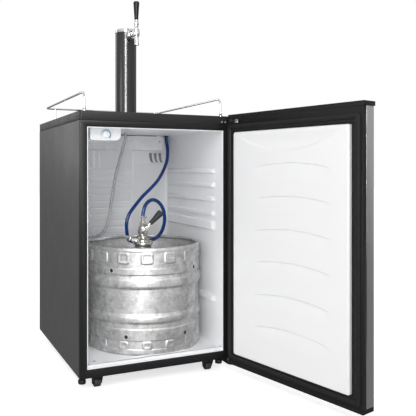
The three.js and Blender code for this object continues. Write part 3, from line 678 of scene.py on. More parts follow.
def refined(node, material, bevel, segments=2):
    """A copy of a CAD node with its flat faces joined and its edges rounded, in the node's place."""
    source = NODES[node]
    data = source.data.copy()
    bm = bmesh.new()
    bm.from_mesh(data)
    bmesh.ops.remove_doubles(bm, verts=bm.verts, dist=5e-6)
    bmesh.ops.dissolve_limit(bm, angle_limit=math.radians(1.5), verts=bm.verts, edges=bm.edges)
    bm.to_mesh(data)
    bm.free()
    return finished(node + "_detail", data, material, source["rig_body"], [node], bevel, 38, segments,
                    weld=False)


def paint(node, material):
    """A CAD node whose shape is kept as it is."""
    data = NODES[node].data
    data.materials.clear()
    data.materials.append(material)


# ---------------------------------------------------------------- hoses


def make_hose(name, route, radius, material, node):
    line = cabinet_place(spaced(route, 4))
    data = bpy.data.curves.new(name, "CURVE")
    data.dimensions = "3D"
    data.bevel_depth = radius * 0.001
    data.bevel_resolution = 8
    data.use_fill_caps = True
    spline = data.splines.new("POLY")
    spline.points.add(len(line) - 1)
    for point, place in zip(spline.points, line):
        point.co = (*place, 1)
    spline.use_smooth = True
    data.materials.append(material)
    hose = bpy.data.objects.new(name, data)
    bpy.context.scene.collection.objects.link(hose)
    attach(hose, "cabinet")
    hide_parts(node)


def make_hoses(m):
    make_hose("blue_hose_line", BLUE_ROUTE, BLUE_R, m["blue"], "blue_hose")
    make_hose("clear_hose_line", CLEAR_ROUTE, CLEAR_R, m["clear"], "clear_hose")


# ---------------------------------------------------------------- cabinet


def make_shell(m):
    refined("cabinet_shell", m["enamel"], 1.6, segments=3)
    refined("worktop", m["worktop"], 2.6, segments=3)
    # A thin near-black band in the joint under the worktop: painted shadow of the gap between worktop and
    # shell.
    seam = Shape()
    seam.box((2, 1.2, 775.2), (508, 598, 776.4))
    seam.piece("worktop_gap_shadow", m["dark"], "cabinet")


def liner_section(inset, y):
    """One loop round the inside of the liner, inset from its walls, with rounded corners."""
    radius = 14
    x0, x1 = LINER["left"] + inset, LINER["right"] - inset
    z0, z1 = LINER["low"] + inset, LINER["high"] - inset
    loop = []
    for (cx, cz), start in (((x1 - radius, z0 + radius), -90), ((x1 - radius, z1 - radius), 0),
                            ((x0 + radius, z1 - radius), 90), ((x0 + radius, z0 + radius), 180)):
        for k in range(9):
            a = math.radians(start + 90 * k / 8)
            loop.append((cx + radius * math.cos(a), cz + radius * math.sin(a)))
    fine = []
    for i, ((ax, az), (bx, bz)) in enumerate(zip(loop, loop[1:] + loop[:1])):
        count = 1 if i % 9 != 8 else (280 if i in (8, 26) else 60)
        for k in range(count):
            t = k / count
            fine.append((ax + (bx - ax) * t, y, az + (bz - az) * t))
    return fine


def rib_height(y, z):
    """How far the shelf rails stand out of a side wall."""
    rails = 0
    for low, high in RIB_HEIGHTS:
        rails = np.maximum(rails, 8.4 * plateau(z, low - 2.5, high + 2.5, 3.6))
    pads = 0.8 * plateau(z, 430, 625, 8)
    along = plateau(y, 66, 428, 20)
    return np.maximum(rails, pads) * along


def liner_walls(m):
    """Side walls, floor and ceiling in one skin, with rounded corners and pressed shelf rails."""
    depths = [8.2, 9.5, *np.linspace(12, 50, 8), *np.linspace(54, 80, 12), *np.linspace(90, 400, 14),
              *np.linspace(406, 438, 14)]
    rows = []
    for y in depths:
        rows.append(liner_section(0.6, y))
    for k in range(1, 9):
        a = math.pi / 2 * k / 8
        rows.append(liner_section(0.6 + 12 * (1 - math.cos(a)), 439.8 + 12 * math.sin(a)))
    p = np.array(rows, float)
    x, y, z = p[..., 0], p[..., 1], p[..., 2]
    middle = (LINER["left"] + LINER["right"]) / 2
    side = np.where(x > middle, 1.0, -1.0)
    near = np.clip(1 - np.abs(np.abs(x - middle) - (LINER["right"] - 0.6 - middle)), 0, 1)
    p[..., 0] -= side * near * rib_height(y, z)
    floor = np.clip(1 - np.abs(z - LINER["low"] - 0.6), 0, 1)
    inner = plateau(x, LINER["left"] + 20, LINER["right"] - 20, 6)
    p[..., 2] += floor * inner * (3.5 * plateau(y, 10, 24, 5) - 0.4 * plateau(y, 34, 430, 4))
    Shape().grid(p, wrap_columns=True).piece("liner_skin", m["liner"], "cabinet", slot="white_plastic")


def back_relief(x, z):
    """Depth pressed into the liner's back wall: grooves, a plain panel and a recess."""
    field = plateau(x, 40, 322, 3) * plateau(z, 372, 632, 3)
    grooves = np.zeros_like(x)
    for level in np.arange(380, 632, 25.0):
        grooves = np.maximum(grooves, plateau(z, level - 0.6, level + 0.6, 2.2))
    panel = 1.2 * plateau(x, 345, 470, 4) * plateau(z, 250, 645, 6)
    recess = 1.8 * plateau(x, 52, 175, 5) * plateau(z, 640, 694, 5)
    frame_line = 1.3 * (plateau(x, 332, 334, 2.4) + plateau(x, 196, 198, 2.4) * plateau(z, 636, 690, 3))
    return np.minimum(2.4, 2.0 * field * grooves + panel + recess + frame_line * plateau(z, 372, 690, 4))


def liner_back(m):
    x = np.linspace(LINER["left"] + 11, LINER["right"] - 11, 190)
    z = np.linspace(LINER["low"] + 11, LINER["high"] - 11, 430)
    zz, xx = np.meshgrid(z, x, indexing="ij")
    keep = np.stack([xx, 451.8 + back_relief(xx, zz), zz], -1)
    shape = Shape()
    rows, columns = keep.shape[:2]
    hole = np.hypot(xx - 434, zz - 674.5) < 26
    faces = []
    for i in range(rows - 1):
        for j in range(columns - 1):
            if not (hole[i, j] and hole[i + 1, j + 1]):
                a = i * columns + j
                faces.append((a, a + 1, a + columns + 1, a + columns))
    shape.add(keep.reshape(-1, 3), faces)
    shape.piece("liner_back_wall", m["liner"], "cabinet", smooth=60, slot="white_plastic")


def make_liner(m):
    refined("inner_liner", m["liner"], 0.8)
    liner_walls(m)
    liner_back(m)
    plug = Shape()
    plug.lathe([(0, 5.2), (3, 5), (6, 3.4), (6.8, 1.6), (6.8, 0)], (52, 26, 37.9), sides=24)
    plug.piece("liner_floor_plug", m["zinc"], "cabinet")


def rounded_outline(x0, z0, x1, z1, radii, steps=8):
    """A rectangle with its own radius at each corner: low left, low right, high right, high left."""
    return filleted([(x0, z0), (x1, z0), (x1, z1), (x0, z1)], list(radii), steps, closed=True)


def dial_scale(m):
    """The coloured ring and the tick marks round the knob."""
    ring = Shape()
    section = ((12.6, 29.6), (15.6, 29.6), (15.6, 30.2), (12.6, 30.2))
    rows = []
    for a in np.radians(np.linspace(-48, 205, 60)):
        rows.append([(DIAL_X + r * math.cos(a), y, DIAL_Z + r * math.sin(a)) for r, y in section])
    ring.grid(np.array(rows), wrap_columns=True)
    ring.piece("dial_ring", m["dial"], "cabinet")
    ticks = Shape()
    tick = ((16.6, -0.35), (18.4, -0.35), (18.4, 0.35), (16.6, 0.35))
    for degrees in range(-40, 221, 20):
        a = math.radians(degrees)
        c, s = math.cos(a), math.sin(a)
        ticks.prism([(DIAL_X + r * c + w * s, DIAL_Z + r * s - w * c) for r, w in tick], 29.5, 30.2, "y")
    ticks.piece("dial_ticks", m["dark"], "cabinet")


def make_thermostat(m):
    box = Shape()
    box.prism(rounded_outline(41, 717, 140, 760.4, (7, 17, 2, 2)), 30, 140, "y")
    box.piece("thermostat_box", m["white"], "cabinet", "thermostat_housing", bevel=3.2, segments=4,
              slot="white_plastic")
    dial_scale(m)
    knob = Shape()
    knob.lathe([(11, 29.7), (11, 24.6), (10.2, 23.2), (8.8, 22.8), (0, 22.8)], (DIAL_X, 0, DIAL_Z), "y", 48)
    ridge = [(89.2, 725.5), (92.8, 725.5), (92.2, 744.6), (89.8, 744.6)]
    knob.prism(filleted(ridge, 0.7, 3, True), 20, 24, "y")
    knob.piece("thermostat_knob_detail", m["white"], "thermostat_knob", "thermostat_knob", bevel=0.4)
    mark = Shape()
    mark.box((90.6, 19.95, 738), (91.4, 20.3, 744))
    mark.piece("thermostat_knob_mark", m["dial"], "thermostat_knob")


def make_evaporator(m):
    cover = Shape()
    cover.prism(rounded_outline(60, 702, 448, 760.4, (3, 14, 14, 3)), 415, 454, "y")
    cover.piece("evaporator_plate", m["white"], "cabinet", "evaporator_cover", bevel=2.4, segments=3,
                slot="white_plastic")
    trim = Shape()
    trim.screw((434, 415.1, 737), "y", 4.2, 1.8, -1)
    trim.screw((76, 415.1, 737), "y", 4.2, 1.8, -1)
    trim.piece("evaporator_screws", m["zinc"], "cabinet")
    slot = Shape()
    slot.box((225, 414.6, 757.2), (420, 415.4, 759.4))
    slot.piece("evaporator_shadow_gap", m["dark"], "cabinet")


def make_vent(m):
    plate = Shape()
    plate.prism(rounded_outline(398, 652, 470, 697, (4, 4, 4, 4)), 449.4, 454.6, "y")
    plate.piece("vent_plate", m["liner"], "cabinet", "vent_grille", bevel=1.4, segments=3)
    # The openings are mid-grey sheets set just behind the three curved slots: painted shade inside them,
    # under the liner-white hoods.
    openings, hoods = Shape(), Shape()
    for k in range(3):
        x = 403 + 20 * k
        left = [(x + 13 * (1 - math.cos(a)), 655 + 38 * (1 - math.sin(a)))
                for a in np.linspace(0, math.pi / 2, 11)]
        right = [(px + 12.5 - 4 * i / 10, pz) for i, (px, pz) in enumerate(left)]
        openings.prism(left + right[::-1], 448.7, 449.6, "y")
        hoods.tube([(px + 0.6, 448.4, pz) for px, pz in right], 1.3, 8)
    openings.piece("vent_slot_shade", m["vent_shade"], "cabinet")
    hoods.piece("vent_hoods", m["liner"], "cabinet")
    refined("fan_rotor", m["black"], 0.3)


def make_rail(m):
    left, right, front, back = 20, 490, 24, 570
    foot, top = 804.3, 864
    line = filleted([(left, front, foot), (left, front, top), (left, back, top), (right, back, top),
                     (right, front, top), (right, front, foot)], 24, 12)
    rail = Shape()
    rail.tube(line, 3.2, 20)
    for x in (left + 36, right - 36):
        rail.tube([(x, back, foot), (x, back, 830), (x, back, top)], 3.1, 16)
        rail.lathe([(3.2, 0), (4.3, -0.8), (4.3, -4.2), (3.2, -5)], (x, back, top), "z", 24)
    feet = [(left, front), (right, front), (left + 36, back), (right - 36, back)]
    for x, y in feet:
        rail.lathe([(3.2, 16), (4.4, 15), (4.6, 13.6), (4.6, 5.2), (4.2, 4.6), (6.8, 3.4), (7.4, 2),
                    (7.4, 0)], (x, y, foot), "z", 32)
    rail.piece("guard_rail_detail", m["chrome"], "cabinet", "guard_rail", slot="chrome")


# ---------------------------------------------------------------- tower and tap


def make_tower(m):
    x, y = TOWER_X, TOWER_Y
    column = Shape()
    column.lathe([(37.2, 810.4), (38, 811.2), (38, 1118), (37.8, 1122)], (x, y, 0), "z", 96)
    column.piece("tower_column_detail", m["gloss"], "cabinet", "tower_column", slot="tower_black")
    cap = Shape()
    cap.lathe([(37.4, 1120.8), (38.8, 1121.4), (38.8, 1123.2), (38.2, 1123.8), (38.2, 1124.6),
               (38.8, 1125.2), (38.8, 1130.6), (38.2, 1131.9), (37, 1132.6), (35, 1133), (20, 1132.7),
               (0, 1132.6)], (x, y, 0), "z", 96)
    cap.piece("tower_cap_detail", m["chrome"], "cabinet", "tower_cap", slot="chrome")
    flange = Shape()
    flange.lathe([(52, 804.3), (52, 807.2), (51, 808.4), (49, 809), (44, 809.6), (40.5, 810.4), (38.2, 812)],
                 (x, y, 0), "z", 96)
    flange.piece("tower_flange_detail", m["chrome"], "cabinet", "tower_flange", slot="chrome")
    screws = Shape()
    for k in range(4):
        a = math.radians(45 + 90 * k)
        screws.screw((x + 45.6 * math.cos(a), y + 45.6 * math.sin(a), 808.9), "z", 2.6, 1.2)
    screws.piece("tower_flange_screws", m["zinc"], "cabinet")


def make_shank(m):
    x, front = TOWER_X, TOWER_Y - TOWER_R
    shank = Shape()
    ridges = []
    for k in range(34):
        ridges += [(10.9, 243 + k * 1.2), (10.3, 243.6 + k * 1.2)]
    shank.lathe([(3, 242.6), (10.4, 242.6), *ridges, (5.4, 284), (5.4, 288), (4.6, 290), (3, 290)],
                (x, 0, SHANK_Z), "y", 40)
    shank.piece("faucet_shank_detail", m["nickel"], "cabinet", "faucet_shank")
    collar = Shape()
    collar.lathe([(11.3, 0), (14.8, 0), (15, -1), (15, -3), (14, -4.4), (13.4, -6), (13.6, -8.6),
                  (12.6, -9.4), (11.3, -9.4)], (x, front - 0.4, SHANK_Z), "y", 64)
    collar.piece("shank_collar_detail", m["chrome"], "cabinet", "shank_collar")
    nut = Shape()
    nut.lathe([(11.3, 236), (14.6, 236), (15.6, 237), (15.6, 239.6), (14.9, 240.2), (14.9, 251.8),
               (15.6, 252.4), (15.6, 255), (14.6, 256), (11.3, 256)], (x, 0, SHANK_Z), "y", 64, closed=True)
    for k in range(12):
        a = 2 * math.pi * k / 12
        nut.lathe([(0, 240.6), (1.5, 240.6), (1.5, 251.4), (0, 251.4)],
                  (x + 14.6 * math.cos(a), 0, SHANK_Z + 14.6 * math.sin(a)), "y", 10)
    nut.piece("coupling_nut_detail", m["chrome"], "cabinet", "coupling_nut")
    refined("shank_nut", m["zinc"], 0.5)


def make_faucet(m):
    x, y = TOWER_X, FAUCET_Y
    body = Shape()
    body.lathe([(4.6, 242), (8.8, 242), (9.6, 241), (9.6, 234), (8.2, 231), (8.2, 222), (9.2, 219),
                (9.2, 214), (8.4, 208), (6, 203)], (x, 0, SHANK_Z), "y", 48)
    body.lathe([(5, 1085), (8.6, 1087.5), (10.4, 1091), (11.7, 1096), (12, 1101), (12, 1106), (11, 1109.5),
                (9.4, 1110.6), (9.4, 1112.4), (10.2, 1113), (10.2, 1115.2), (9.4, 1116), (6.4, 1116),
                (6.4, 1104)], (x, y, 0), "z", 48)
    path = [(x, y - 5 * t, 1094 - 35.4 * t) for t in np.linspace(0, 1, 16)]
    radii = [8.6, 8.4, 8.1, 7.9, 7.8, 7.7, 7.6, 7.5, 7.4, 7.4, 7.4, 7.4, 7.6, 8.2, 8.2, 7.6]
    body.tube(path, radii, 32, capped=False)
    body.piece("faucet_body_detail", m["chrome"], "cabinet", "faucet_body", slot="chrome")
    bore = Shape()
    bore.tube([(x, y - 1, 1090), (x, y - 3, 1076), (x, y - 5.05, 1059)], [5.6, 5.8, 7.3], 24, capped=False)
    bore.piece("faucet_bore", m["nickel"], "cabinet")
    lever = Shape()
    lever.lathe([(0, 1109.4), (2.6, 1110.4), (3, 1112), (3, 1120.4), (5.8, 1121.2), (7.4, 1122.4),
                 (7.4, 1123.6), (6.2, 1124.8), (5.2, 1125.4), (5.2, 1126.6), (8, 1128), (8.9, 1130.6),
                 (8.9, 1134.4), (8.2, 1138), (7.2, 1141.4), (6.5, 1144), (6.5, 1146), (0, 1146)], (x, y, 0),
                "z", 48)
    lever.piece("faucet_lever_detail", m["chrome"], "tap", "faucet_lever", slot="chrome")
    handle = Shape()
    handle.lathe([(0, 1146.4), (6.2, 1146.4), (6.8, 1147.4), (7.1, 1154), (7.9, 1166), (9, 1184), (9.9, 1198),
                  (10.4, 1203), (10.3, 1206), (9.4, 1208.6), (7.4, 1209.8), (0, 1210)], (x, y, 0), "z", 64)
    handle.piece("tap_handle_detail", m["black"], "tap", "tap_handle", slot="black_plastic")


# ---------------------------------------------------------------- keg


def square_emboss(angle, z, low, high, half_width):
    """Sixteen raised pads with rounded corners round a chime, each with a shallow dish in it."""
    pitch = math.radians(22.5)
    offset = math.radians(248.7 + 4)
    arc = np.abs((angle - offset + pitch / 2) % pitch - pitch / 2) * CHIME_R
    corner = 6
    dx = arc - (half_width - corner)
    dz = np.abs(z - (low + high) / 2) - ((high - low) / 2 - corner)
    outside = np.hypot(np.maximum(dx, 0), np.maximum(dz, 0)) + np.minimum(np.maximum(dx, dz), 0) - corner
    return 2.6 * smoothstep((2.4 - outside) / 2.4) - 1.0 * smoothstep((-4.5 - outside) / 2.5)


# Drain holes: height, first angle and step in degrees, and how many.
KEG_HOLES = ((303, 38, 90, 4), (95, 53, 60, 6))
HOLE_R = 7.4


def in_holes(angle, z, level, first, step, count):
    """1 inside a drain hole, 0 elsewhere."""
    inside = np.zeros_like(angle)
    for k in range(count):
        a = math.radians(first + step * k)
        across = ((angle - a + math.pi) % (2 * math.pi) - math.pi) * CHIME_R
        inside = np.maximum(inside, (np.hypot(across, z - level) < HOLE_R).astype(float))
    return inside


KEG_OUTER = [(186.5, 46), (187.5, 40.5), (190.5, 38), (194.5, 38.6), (196.6, 42), (197, 47), (197, 55),
             (196, 58), (196, 82), (197, 85), (197, 116), (196.4, 118.6), (194.2, 120.4), (194, 122),
             (194, 134), (195, 136.5), (198, 140), (199.6, 144), (200, 151), (199.6, 157.5), (198, 161.5),
             (195.4, 165), (194, 168), (194, 244), (195.2, 247), (198, 250), (199.7, 254.5), (200, 264.5),
             (199.7, 274), (198, 278.5), (195.4, 282), (194.2, 284), (194, 288), (194.2, 290.6),
             (196.6, 292), (197, 294), (197, 310), (196.2, 313), (196.2, 364), (197, 366.6), (197, 369),
             (196.6, 373), (194.5, 376.6), (191, 378), (188, 376.6), (186.6, 373.4), (187.6, 369.6),
             (191.5, 367.4), (193, 364), (193, 297), (190, 291.5), (180, 300), (166, 318.5), (150, 325),
             (120, 332.4), (80, 339), (50, 343.2), (32, 345.4), (29, 347), (27.6, 350), (27.6, 362.2)]


def resample(profile, step):
    """Points about step apart along a polyline."""
    p = np.array(profile, float)
    along = np.concatenate([[0], np.cumsum(np.linalg.norm(np.diff(p, axis=0), axis=1))])
    count = int(along[-1] / step)
    t = np.union1d(np.linspace(0, along[-1], count), along)
    return np.stack([np.interp(t, along, p[:, 0]), np.interp(t, along, p[:, 1])], 1)


def keg_shell(m):
    outline = resample(KEG_OUTER, 2.4)
    sides = 720
    angle = np.linspace(0, 2 * math.pi, sides, endpoint=False)
    r = np.repeat(outline[:, :1], sides, 1)
    z = np.repeat(outline[:, 1:], sides, 1)
    a = np.repeat(angle[None, :], len(outline), 0)
    outside = r > 195
    r = r + outside * square_emboss(a, z, 328, 361, 18)
    r = r + outside * square_emboss(a, z, 58, 80, 14)
    rng = np.random.default_rng(4)
    dents = np.zeros_like(r)
    for _ in range(26):
        at, level = rng.uniform(0, 2 * math.pi), rng.uniform(60, 360)
        size, depth = rng.uniform(14, 34), rng.uniform(0.25, 0.8)
        across = ((a - at + math.pi) % (2 * math.pi) - math.pi) * CHIME_R
        dents += depth * np.exp(-(across**2 + (z - level) ** 2) / size**2)
    r = r - dents * (r > 190)
    holes = np.maximum.reduce([in_holes(a, z, *row) for row in KEG_HOLES]) * outside
    points = np.stack([KEG_X + r * np.cos(a), KEG_Y + r * np.sin(a), z], -1)
    rows, columns = r.shape
    faces = []
    for i in range(rows - 1):
        for j in range(columns):
            k = (j + 1) % columns
            if holes[i, j] and holes[i + 1, k] and holes[i, k] and holes[i + 1, j]:
                continue
            faces.append((i * columns + j, i * columns + k, (i + 1) * columns + k, (i + 1) * columns + j))
    shell = Shape().add(points.reshape(-1, 3), faces)
    shell.piece("keg_shell", m["keg"], "cabinet", "keg_body", "keg_top_chime", "keg_bottom_chime", smooth=70,
                slot="keg_steel")


def on_chime(angle, out, across, height):
    """A point out from the keg's axis at an angle, then moved across."""
    c, s = math.cos(angle), math.sin(angle)
    return KEG_X + out * c - across * s, KEG_Y + out * s + across * c, height


def keg_holes(m):
    """Near-black blocks inside the drain holes, painted shade where they look into the chime, and rolled lips
    round them.
    """
    backs, lips = Shape(), Shape()
    half = HOLE_R + 1
    corners = ((-half, -half), (half, -half), (half, half), (-half, half))
    turns = np.linspace(0, 2 * math.pi, 24, endpoint=False)
    for level, first, step, count in KEG_HOLES:
        for k in range(count):
            a = math.radians(first + step * k)
            lips.tube([on_chime(a, 196.9, HOLE_R * math.cos(b), level + HOLE_R * math.sin(b)) for b in turns],
                      0.8, 8, closed=True)
            # flat and deep bound the near-black block that paints the shade inside each hole.
            flat = [on_chime(a, 195.4, x, level + z) for x, z in corners]
            deep = [on_chime(a, 194.6, x, level + z) for x, z in corners]
            backs.add(flat + deep, [(0, 1, 2, 3), (7, 6, 5, 4), (0, 4, 5, 1), (1, 5, 6, 2), (2, 6, 7, 3),
                                    (3, 7, 4, 0)])
    lips.piece("keg_hole_lips", m["keg"], "cabinet")
    backs.piece("keg_hole_shade", m["dark"], "cabinet")


def make_keg(m):
    keg_shell(m)
    keg_holes(m)
    valve = Shape()
    valve.lathe([(30, 362.4), (30, 365), (29, 366), (24, 366), (23, 364.6), (12, 364.6), (11, 366), (0, 366)],
                (KEG_X, KEG_Y, 0), "z", 64)
    valve.lathe([(23, 346), (27.4, 346), (30, 352), (30, 362.3), (23, 362.3)], (KEG_X, KEG_Y, 0), "z", 64)
    valve.piece("keg_valve_detail", m["nickel"], "cabinet", "keg_valve")


# ---------------------------------------------------------------- coupler


def hose_clamp(shape, place, direction, radius):
    """A worm-drive band round a hose, with its screw housing."""
    d = Vector(direction).normalized()
    turn = Vector((0, 0, 1)).rotation_difference(d).to_matrix()

    def at(p):
        return tuple(turn @ Vector(p) + Vector(place))

    section = ((0, -4), (0.9, -4), (0.9, 4), (0, 4))
    band = [[at(((radius + r) * math.cos(a), (radius + r) * math.sin(a), z)) for r, z in section]
            for a in np.linspace(0, 2 * math.pi, 33)[:-1]]
    shape.grid(np.array(band), True, True)
    shape.tube([at((-7 + k, -radius - 2.6, 0)) for k in range(0, 15)], 2.6, 10)
    shape.tube([at((k, -radius - 2.6, 0)) for k in (7, 8, 9, 10)], 3.4, 6)


def coupler_body(m):
    """The cast body with its locking lugs and the side inlet's tail piece."""
    x, y = KEG_X, KEG_Y
    body = Shape()
    body.lathe([(9.6, 366.4), (33, 366.4), (34, 367.4), (34, 372.4), (33, 374), (26, 374.6), (22, 376.6),
                (21, 380), (21, 383), (17.6, 384), (17.6, 388), (21, 389), (21, 395.4), (19.6, 397),
                (14.6, 398.4), (14.6, 402), (17.6, 404), (17.6, 418), (14.6, 419), (14.6, 421.4),
                (17, 422.4), (15.6, 427), (14, 429.8), (9.6, 430)], (x, y, 0), "z", 64)
    for k in range(3):
        a = math.radians(200 + 120 * k)
        c, s = math.cos(a), math.sin(a)
        lug = [(x + u * c - v * s, y + u * s + v * c) for u, v in ((20, -7), (33.6, -9), (33.6, 9), (20, 7))]
        body.prism(lug, 368, 379)
    start, end = np.array([x - 14, y - 1, 373.5]), np.array([225.4, 203, 391.3])
    line = [tuple(start + (end - start) * t) for t in np.linspace(0, 1, 14)]
    radii = [6.2, 6.2, 9.4, 9.4, 9.4, 7, 7, 8.2, 8.2, 6.2, 6.2, 6.2, 6.2, 6.2]
    body.tube(line, radii, 6)
    body.tube(line, 6.2, 24)
    body.piece("coupler_body_detail", m["nickel"], "cabinet", "coupler_body", bevel=0.7, slot="chrome")


def coupler_fittings(m):
    """The lever's pivot boss, the inlet's hose clamp and the relief valve with its pull ring."""
    x, y = KEG_X, KEG_Y
    trims = Shape()
    trims.lathe([(0, 22.4), (4.6, 22.4), (5.4, 21.8), (5.4, 17), (0, 17)], (x, y, 411), "y", 24)
    hose_clamp(trims, (229, 203.4, 389.4), (-1, -0.1, 0.42), 6.4)
    trims.lathe([(0, -36), (3.4, -36), (4.6, -35), (4.6, -30), (6.4, -29), (6.4, -20), (0, -20)],
                (x - 6, y, 388), "y", 24)
    trims.tube(filleted([(x - 6, y - 36, 384), (x - 6, y - 36, 374), (x + 8, y - 36, 374),
                         (x + 8, y - 36, 388), (x - 2, y - 36, 390)], 4, 5), 0.9, 8)
    trims.piece("coupler_fittings", m["nickel"], "cabinet")


def coupler_outlet(m):
    """The hexagonal outlet nut, its neck and the clamp on the blue hose."""
    x, y = KEG_X, KEG_Y
    outlet = Shape()
    outlet.lathe([(0, 430.4), (12.6, 430.4), (13.4, 431.4), (13.4, 441), (12.4, 442), (8, 442.4), (8, 446),
                  (7.2, 446.6), (7.2, 449), (6.2, 449.6), (6.2, 455.6), (0, 455.6)], (x, y, 0), "z", 6,
                 turn=0.26)
    outlet.lathe([(8, 441), (8, 446), (6.3, 447), (6.3, 455.6)], (x, y, 0), "z", 40)
    outlet.piece("coupler_outlet_detail", m["nickel"], "cabinet", "coupler_outlet", bevel=0.5, slot="chrome")
    clamp = Shape()
    hose_clamp(clamp, (x, y, 460.5), (0.05, 0, 1), 5.7)
    clamp.piece("blue_hose_clamp", m["nickel"], "cabinet")


def coupler_grip(m):
    """The lever's hand grip, ribbed lightly along its length."""
    grip = Shape()
    profile = resample([(0, 37.4), (7.2, 37.4), (7.8, 39), (8.1, 44), (10.2, 66), (12.2, 86), (12.3, 89.6),
                        (11.4, 93), (9.4, 94.8), (0, 95)], 1.6)
    raise_by, turn = math.radians(45), math.radians(-12)
    sides = 72
    angle = np.linspace(0, 2 * math.pi, sides, endpoint=False)
    along = np.repeat(profile[:, 1:], sides, 1)
    ribs = 0.45 * np.cos(angle * 12)[None, :] * plateau(along, 46, 86, 6)
    r = np.repeat(profile[:, :1], sides, 1) - 0.4 * plateau(along, 46, 86, 6) + ribs
    a, b = r * np.cos(angle), r * np.sin(angle)
    u = along * math.cos(raise_by) - b * math.sin(raise_by)
    up = along * math.sin(raise_by) + b * math.cos(raise_by)
    px = KEG_X + u * math.cos(turn) - a * math.sin(turn)
    py = KEG_Y + u * math.sin(turn) + a * math.cos(turn)
    grip.grid(np.stack([px, py, 411 + up], -1), wrap_columns=True)
    grip.piece("coupler_grip_detail", m["rubber"], "coupler_lever", "coupler_grip", slot="black_plastic")


def make_coupler(m):
    coupler_body(m)
    coupler_fittings(m)
    coupler_outlet(m)
    refined("coupler_lever", m["nickel"], 1.2, segments=3)
    refined("coupler_probe", m["nickel"], 0.3)
    coupler_grip(m)


# ---------------------------------------------------------------- door


def panel_relief(x, z):
    """Depth pressed into the door's inner panel: a shallow dish at the top and six crescent scoops."""
    middle = (PANEL["free"] + PANEL["hinge"]) / 2
    half = (PANEL["hinge"] - PANEL["free"]) / 2
    across = (x - middle) / (half - 18)
    arc = PANEL["high"] - 12 - 56 * np.clip(1 - across**2, 0, 1)
    dish = -6.0 * smoothstep((z - arc) / 9) * smoothstep((PANEL["high"] - 8 - z) / 30)
    scoops = np.zeros_like(x)
    for level in (640, 542, 444, 346, 246, 148):
        t = (x - middle + 17) / 150
        bow = 16 * (1 - t**2)
        inside = smoothstep((1.0 - np.abs(t)) / 0.3)
        top = smoothstep((level - 9 + bow - z) / 2.6 + 0.5)
        low = smoothstep((z - level + 48 - bow) / 44)
        scoops = np.maximum(scoops, 5.0 * inside * top * low)
    return dish - scoops


def door_panel(m):
    """One pressed sheet: the field with its relief, a rounded shoulder, and the walls behind it."""
    x0, x1, z0, z1 = PANEL["free"], PANEL["hinge"], PANEL["low"], PANEL["high"]
    face = PANEL["face"] - 0.6
    u = np.linspace(x0 + 6, x1 - 6, 170)
    w = np.linspace(z0 + 6, z1 - 6, 540)
    zz, xx = np.meshgrid(w, u, indexing="ij")
    edge = np.minimum.reduce([xx - x0 - 6, x1 - 6 - xx, zz - z0 - 6, z1 - 6 - zz])
    relief = panel_relief(xx, zz) * smoothstep(edge / 14)
    yy = face + relief
    shape = Shape().grid(np.stack([xx, yy, zz], -1))
    loops = []
    for k in range(7):
        a = math.pi / 2 * k / 6
        inset = 6 * (1 - math.sin(a))
        y = face - 6 * (1 - math.cos(a))
        loops.append((inset, y))
    loops.append((0.2, -4.5))
    rings = []
    for inset, y in loops:
        outline = rounded_outline(x0 + inset, z0 + inset, x1 - inset, z1 - inset, (7, 7, 7, 7), 5)
        rings.append([(px, y, pz) for px, pz in outline])
    shape.grid(np.array(rings), wrap_columns=True)
    shape.piece("door_panel", m["door_white"], "door", "door_liner", place=door_place, smooth=60,
                slot="white_plastic")
    shape = Shape()
    for x, z in ((-52, 96), (-52, 690)):
        shape.lathe([(3.4, 0), (3.2, 0.5), (2, 0.9), (0, 1)], (x, face - 0.4, z), "y", 20)
    shape.piece("door_panel_plugs", m["white"], "door", place=door_place)


def door_gasket(m):
    """The magnetic seal: a dart against the panel, a bellows and a rounded magnet pocket."""
    x0, x1, z0, z1 = -500, -2, 9.3, 773.6
    profile = [(0.4, 10.3), (0.4, 13), (1.6, 15), (0.6, 16.6), (1.2, 18.2), (3.6, 18.7), (10.6, 18.7),
               (12.6, 17.6), (13, 15.6), (11.6, 14), (12.2, 12.4), (15, 11.8), (18.4, 12.4), (20.6, 12),
               (20.9, 10.3)]
    rings = []
    for inset, y in profile:
        outline = rounded_outline(x0 + inset, z0 + inset, x1 - inset, z1 - inset, (5, 5, 5, 5), 4)
        rings.append([(px, y, pz) for px, pz in outline])
    shape = Shape().grid(np.array(rings), wrap_rows=True, wrap_columns=True)
    shape.piece("door_seal", m["gasket"], "door", "door_gasket", place=door_place, smooth=50, slot="rubber")


def door_rim_details(m):
    refined("door_rim", m["black"], 1.0)
    refined("door_skin", m["skin"], 0.9, segments=3)
    refined("door_top_cap", m["black"], 1.6, segments=3)
    refined("door_bottom_cap", m["black"], 1.6, segments=3)
    refined("strike_plate", m["zinc"], 0.4)
    strip = Shape()
    strip.box((-505.8, -4.9, 10), (-503.4, 9.4, 786))
    strip.piece("door_free_edge_bead", m["black"], "door", place=door_place, bevel=0.8)
    grip = Shape()
    profile = []
    for t in np.linspace(0, 1, 40):
        depth = 7.4 * math.sin(math.pi * t) ** 0.7
        z = 120 + 330 * t
        profile.append([(-506.1, -4.2 - depth * 0.2, z), (-506.1, 2.0 + depth * 0.5, z)])
    grip.grid(np.array(profile))
    grip.piece("door_grip_shadow", m["dark"], "door", place=door_place)


def make_door(m):
    door_panel(m)
    door_gasket(m)
    door_rim_details(m)


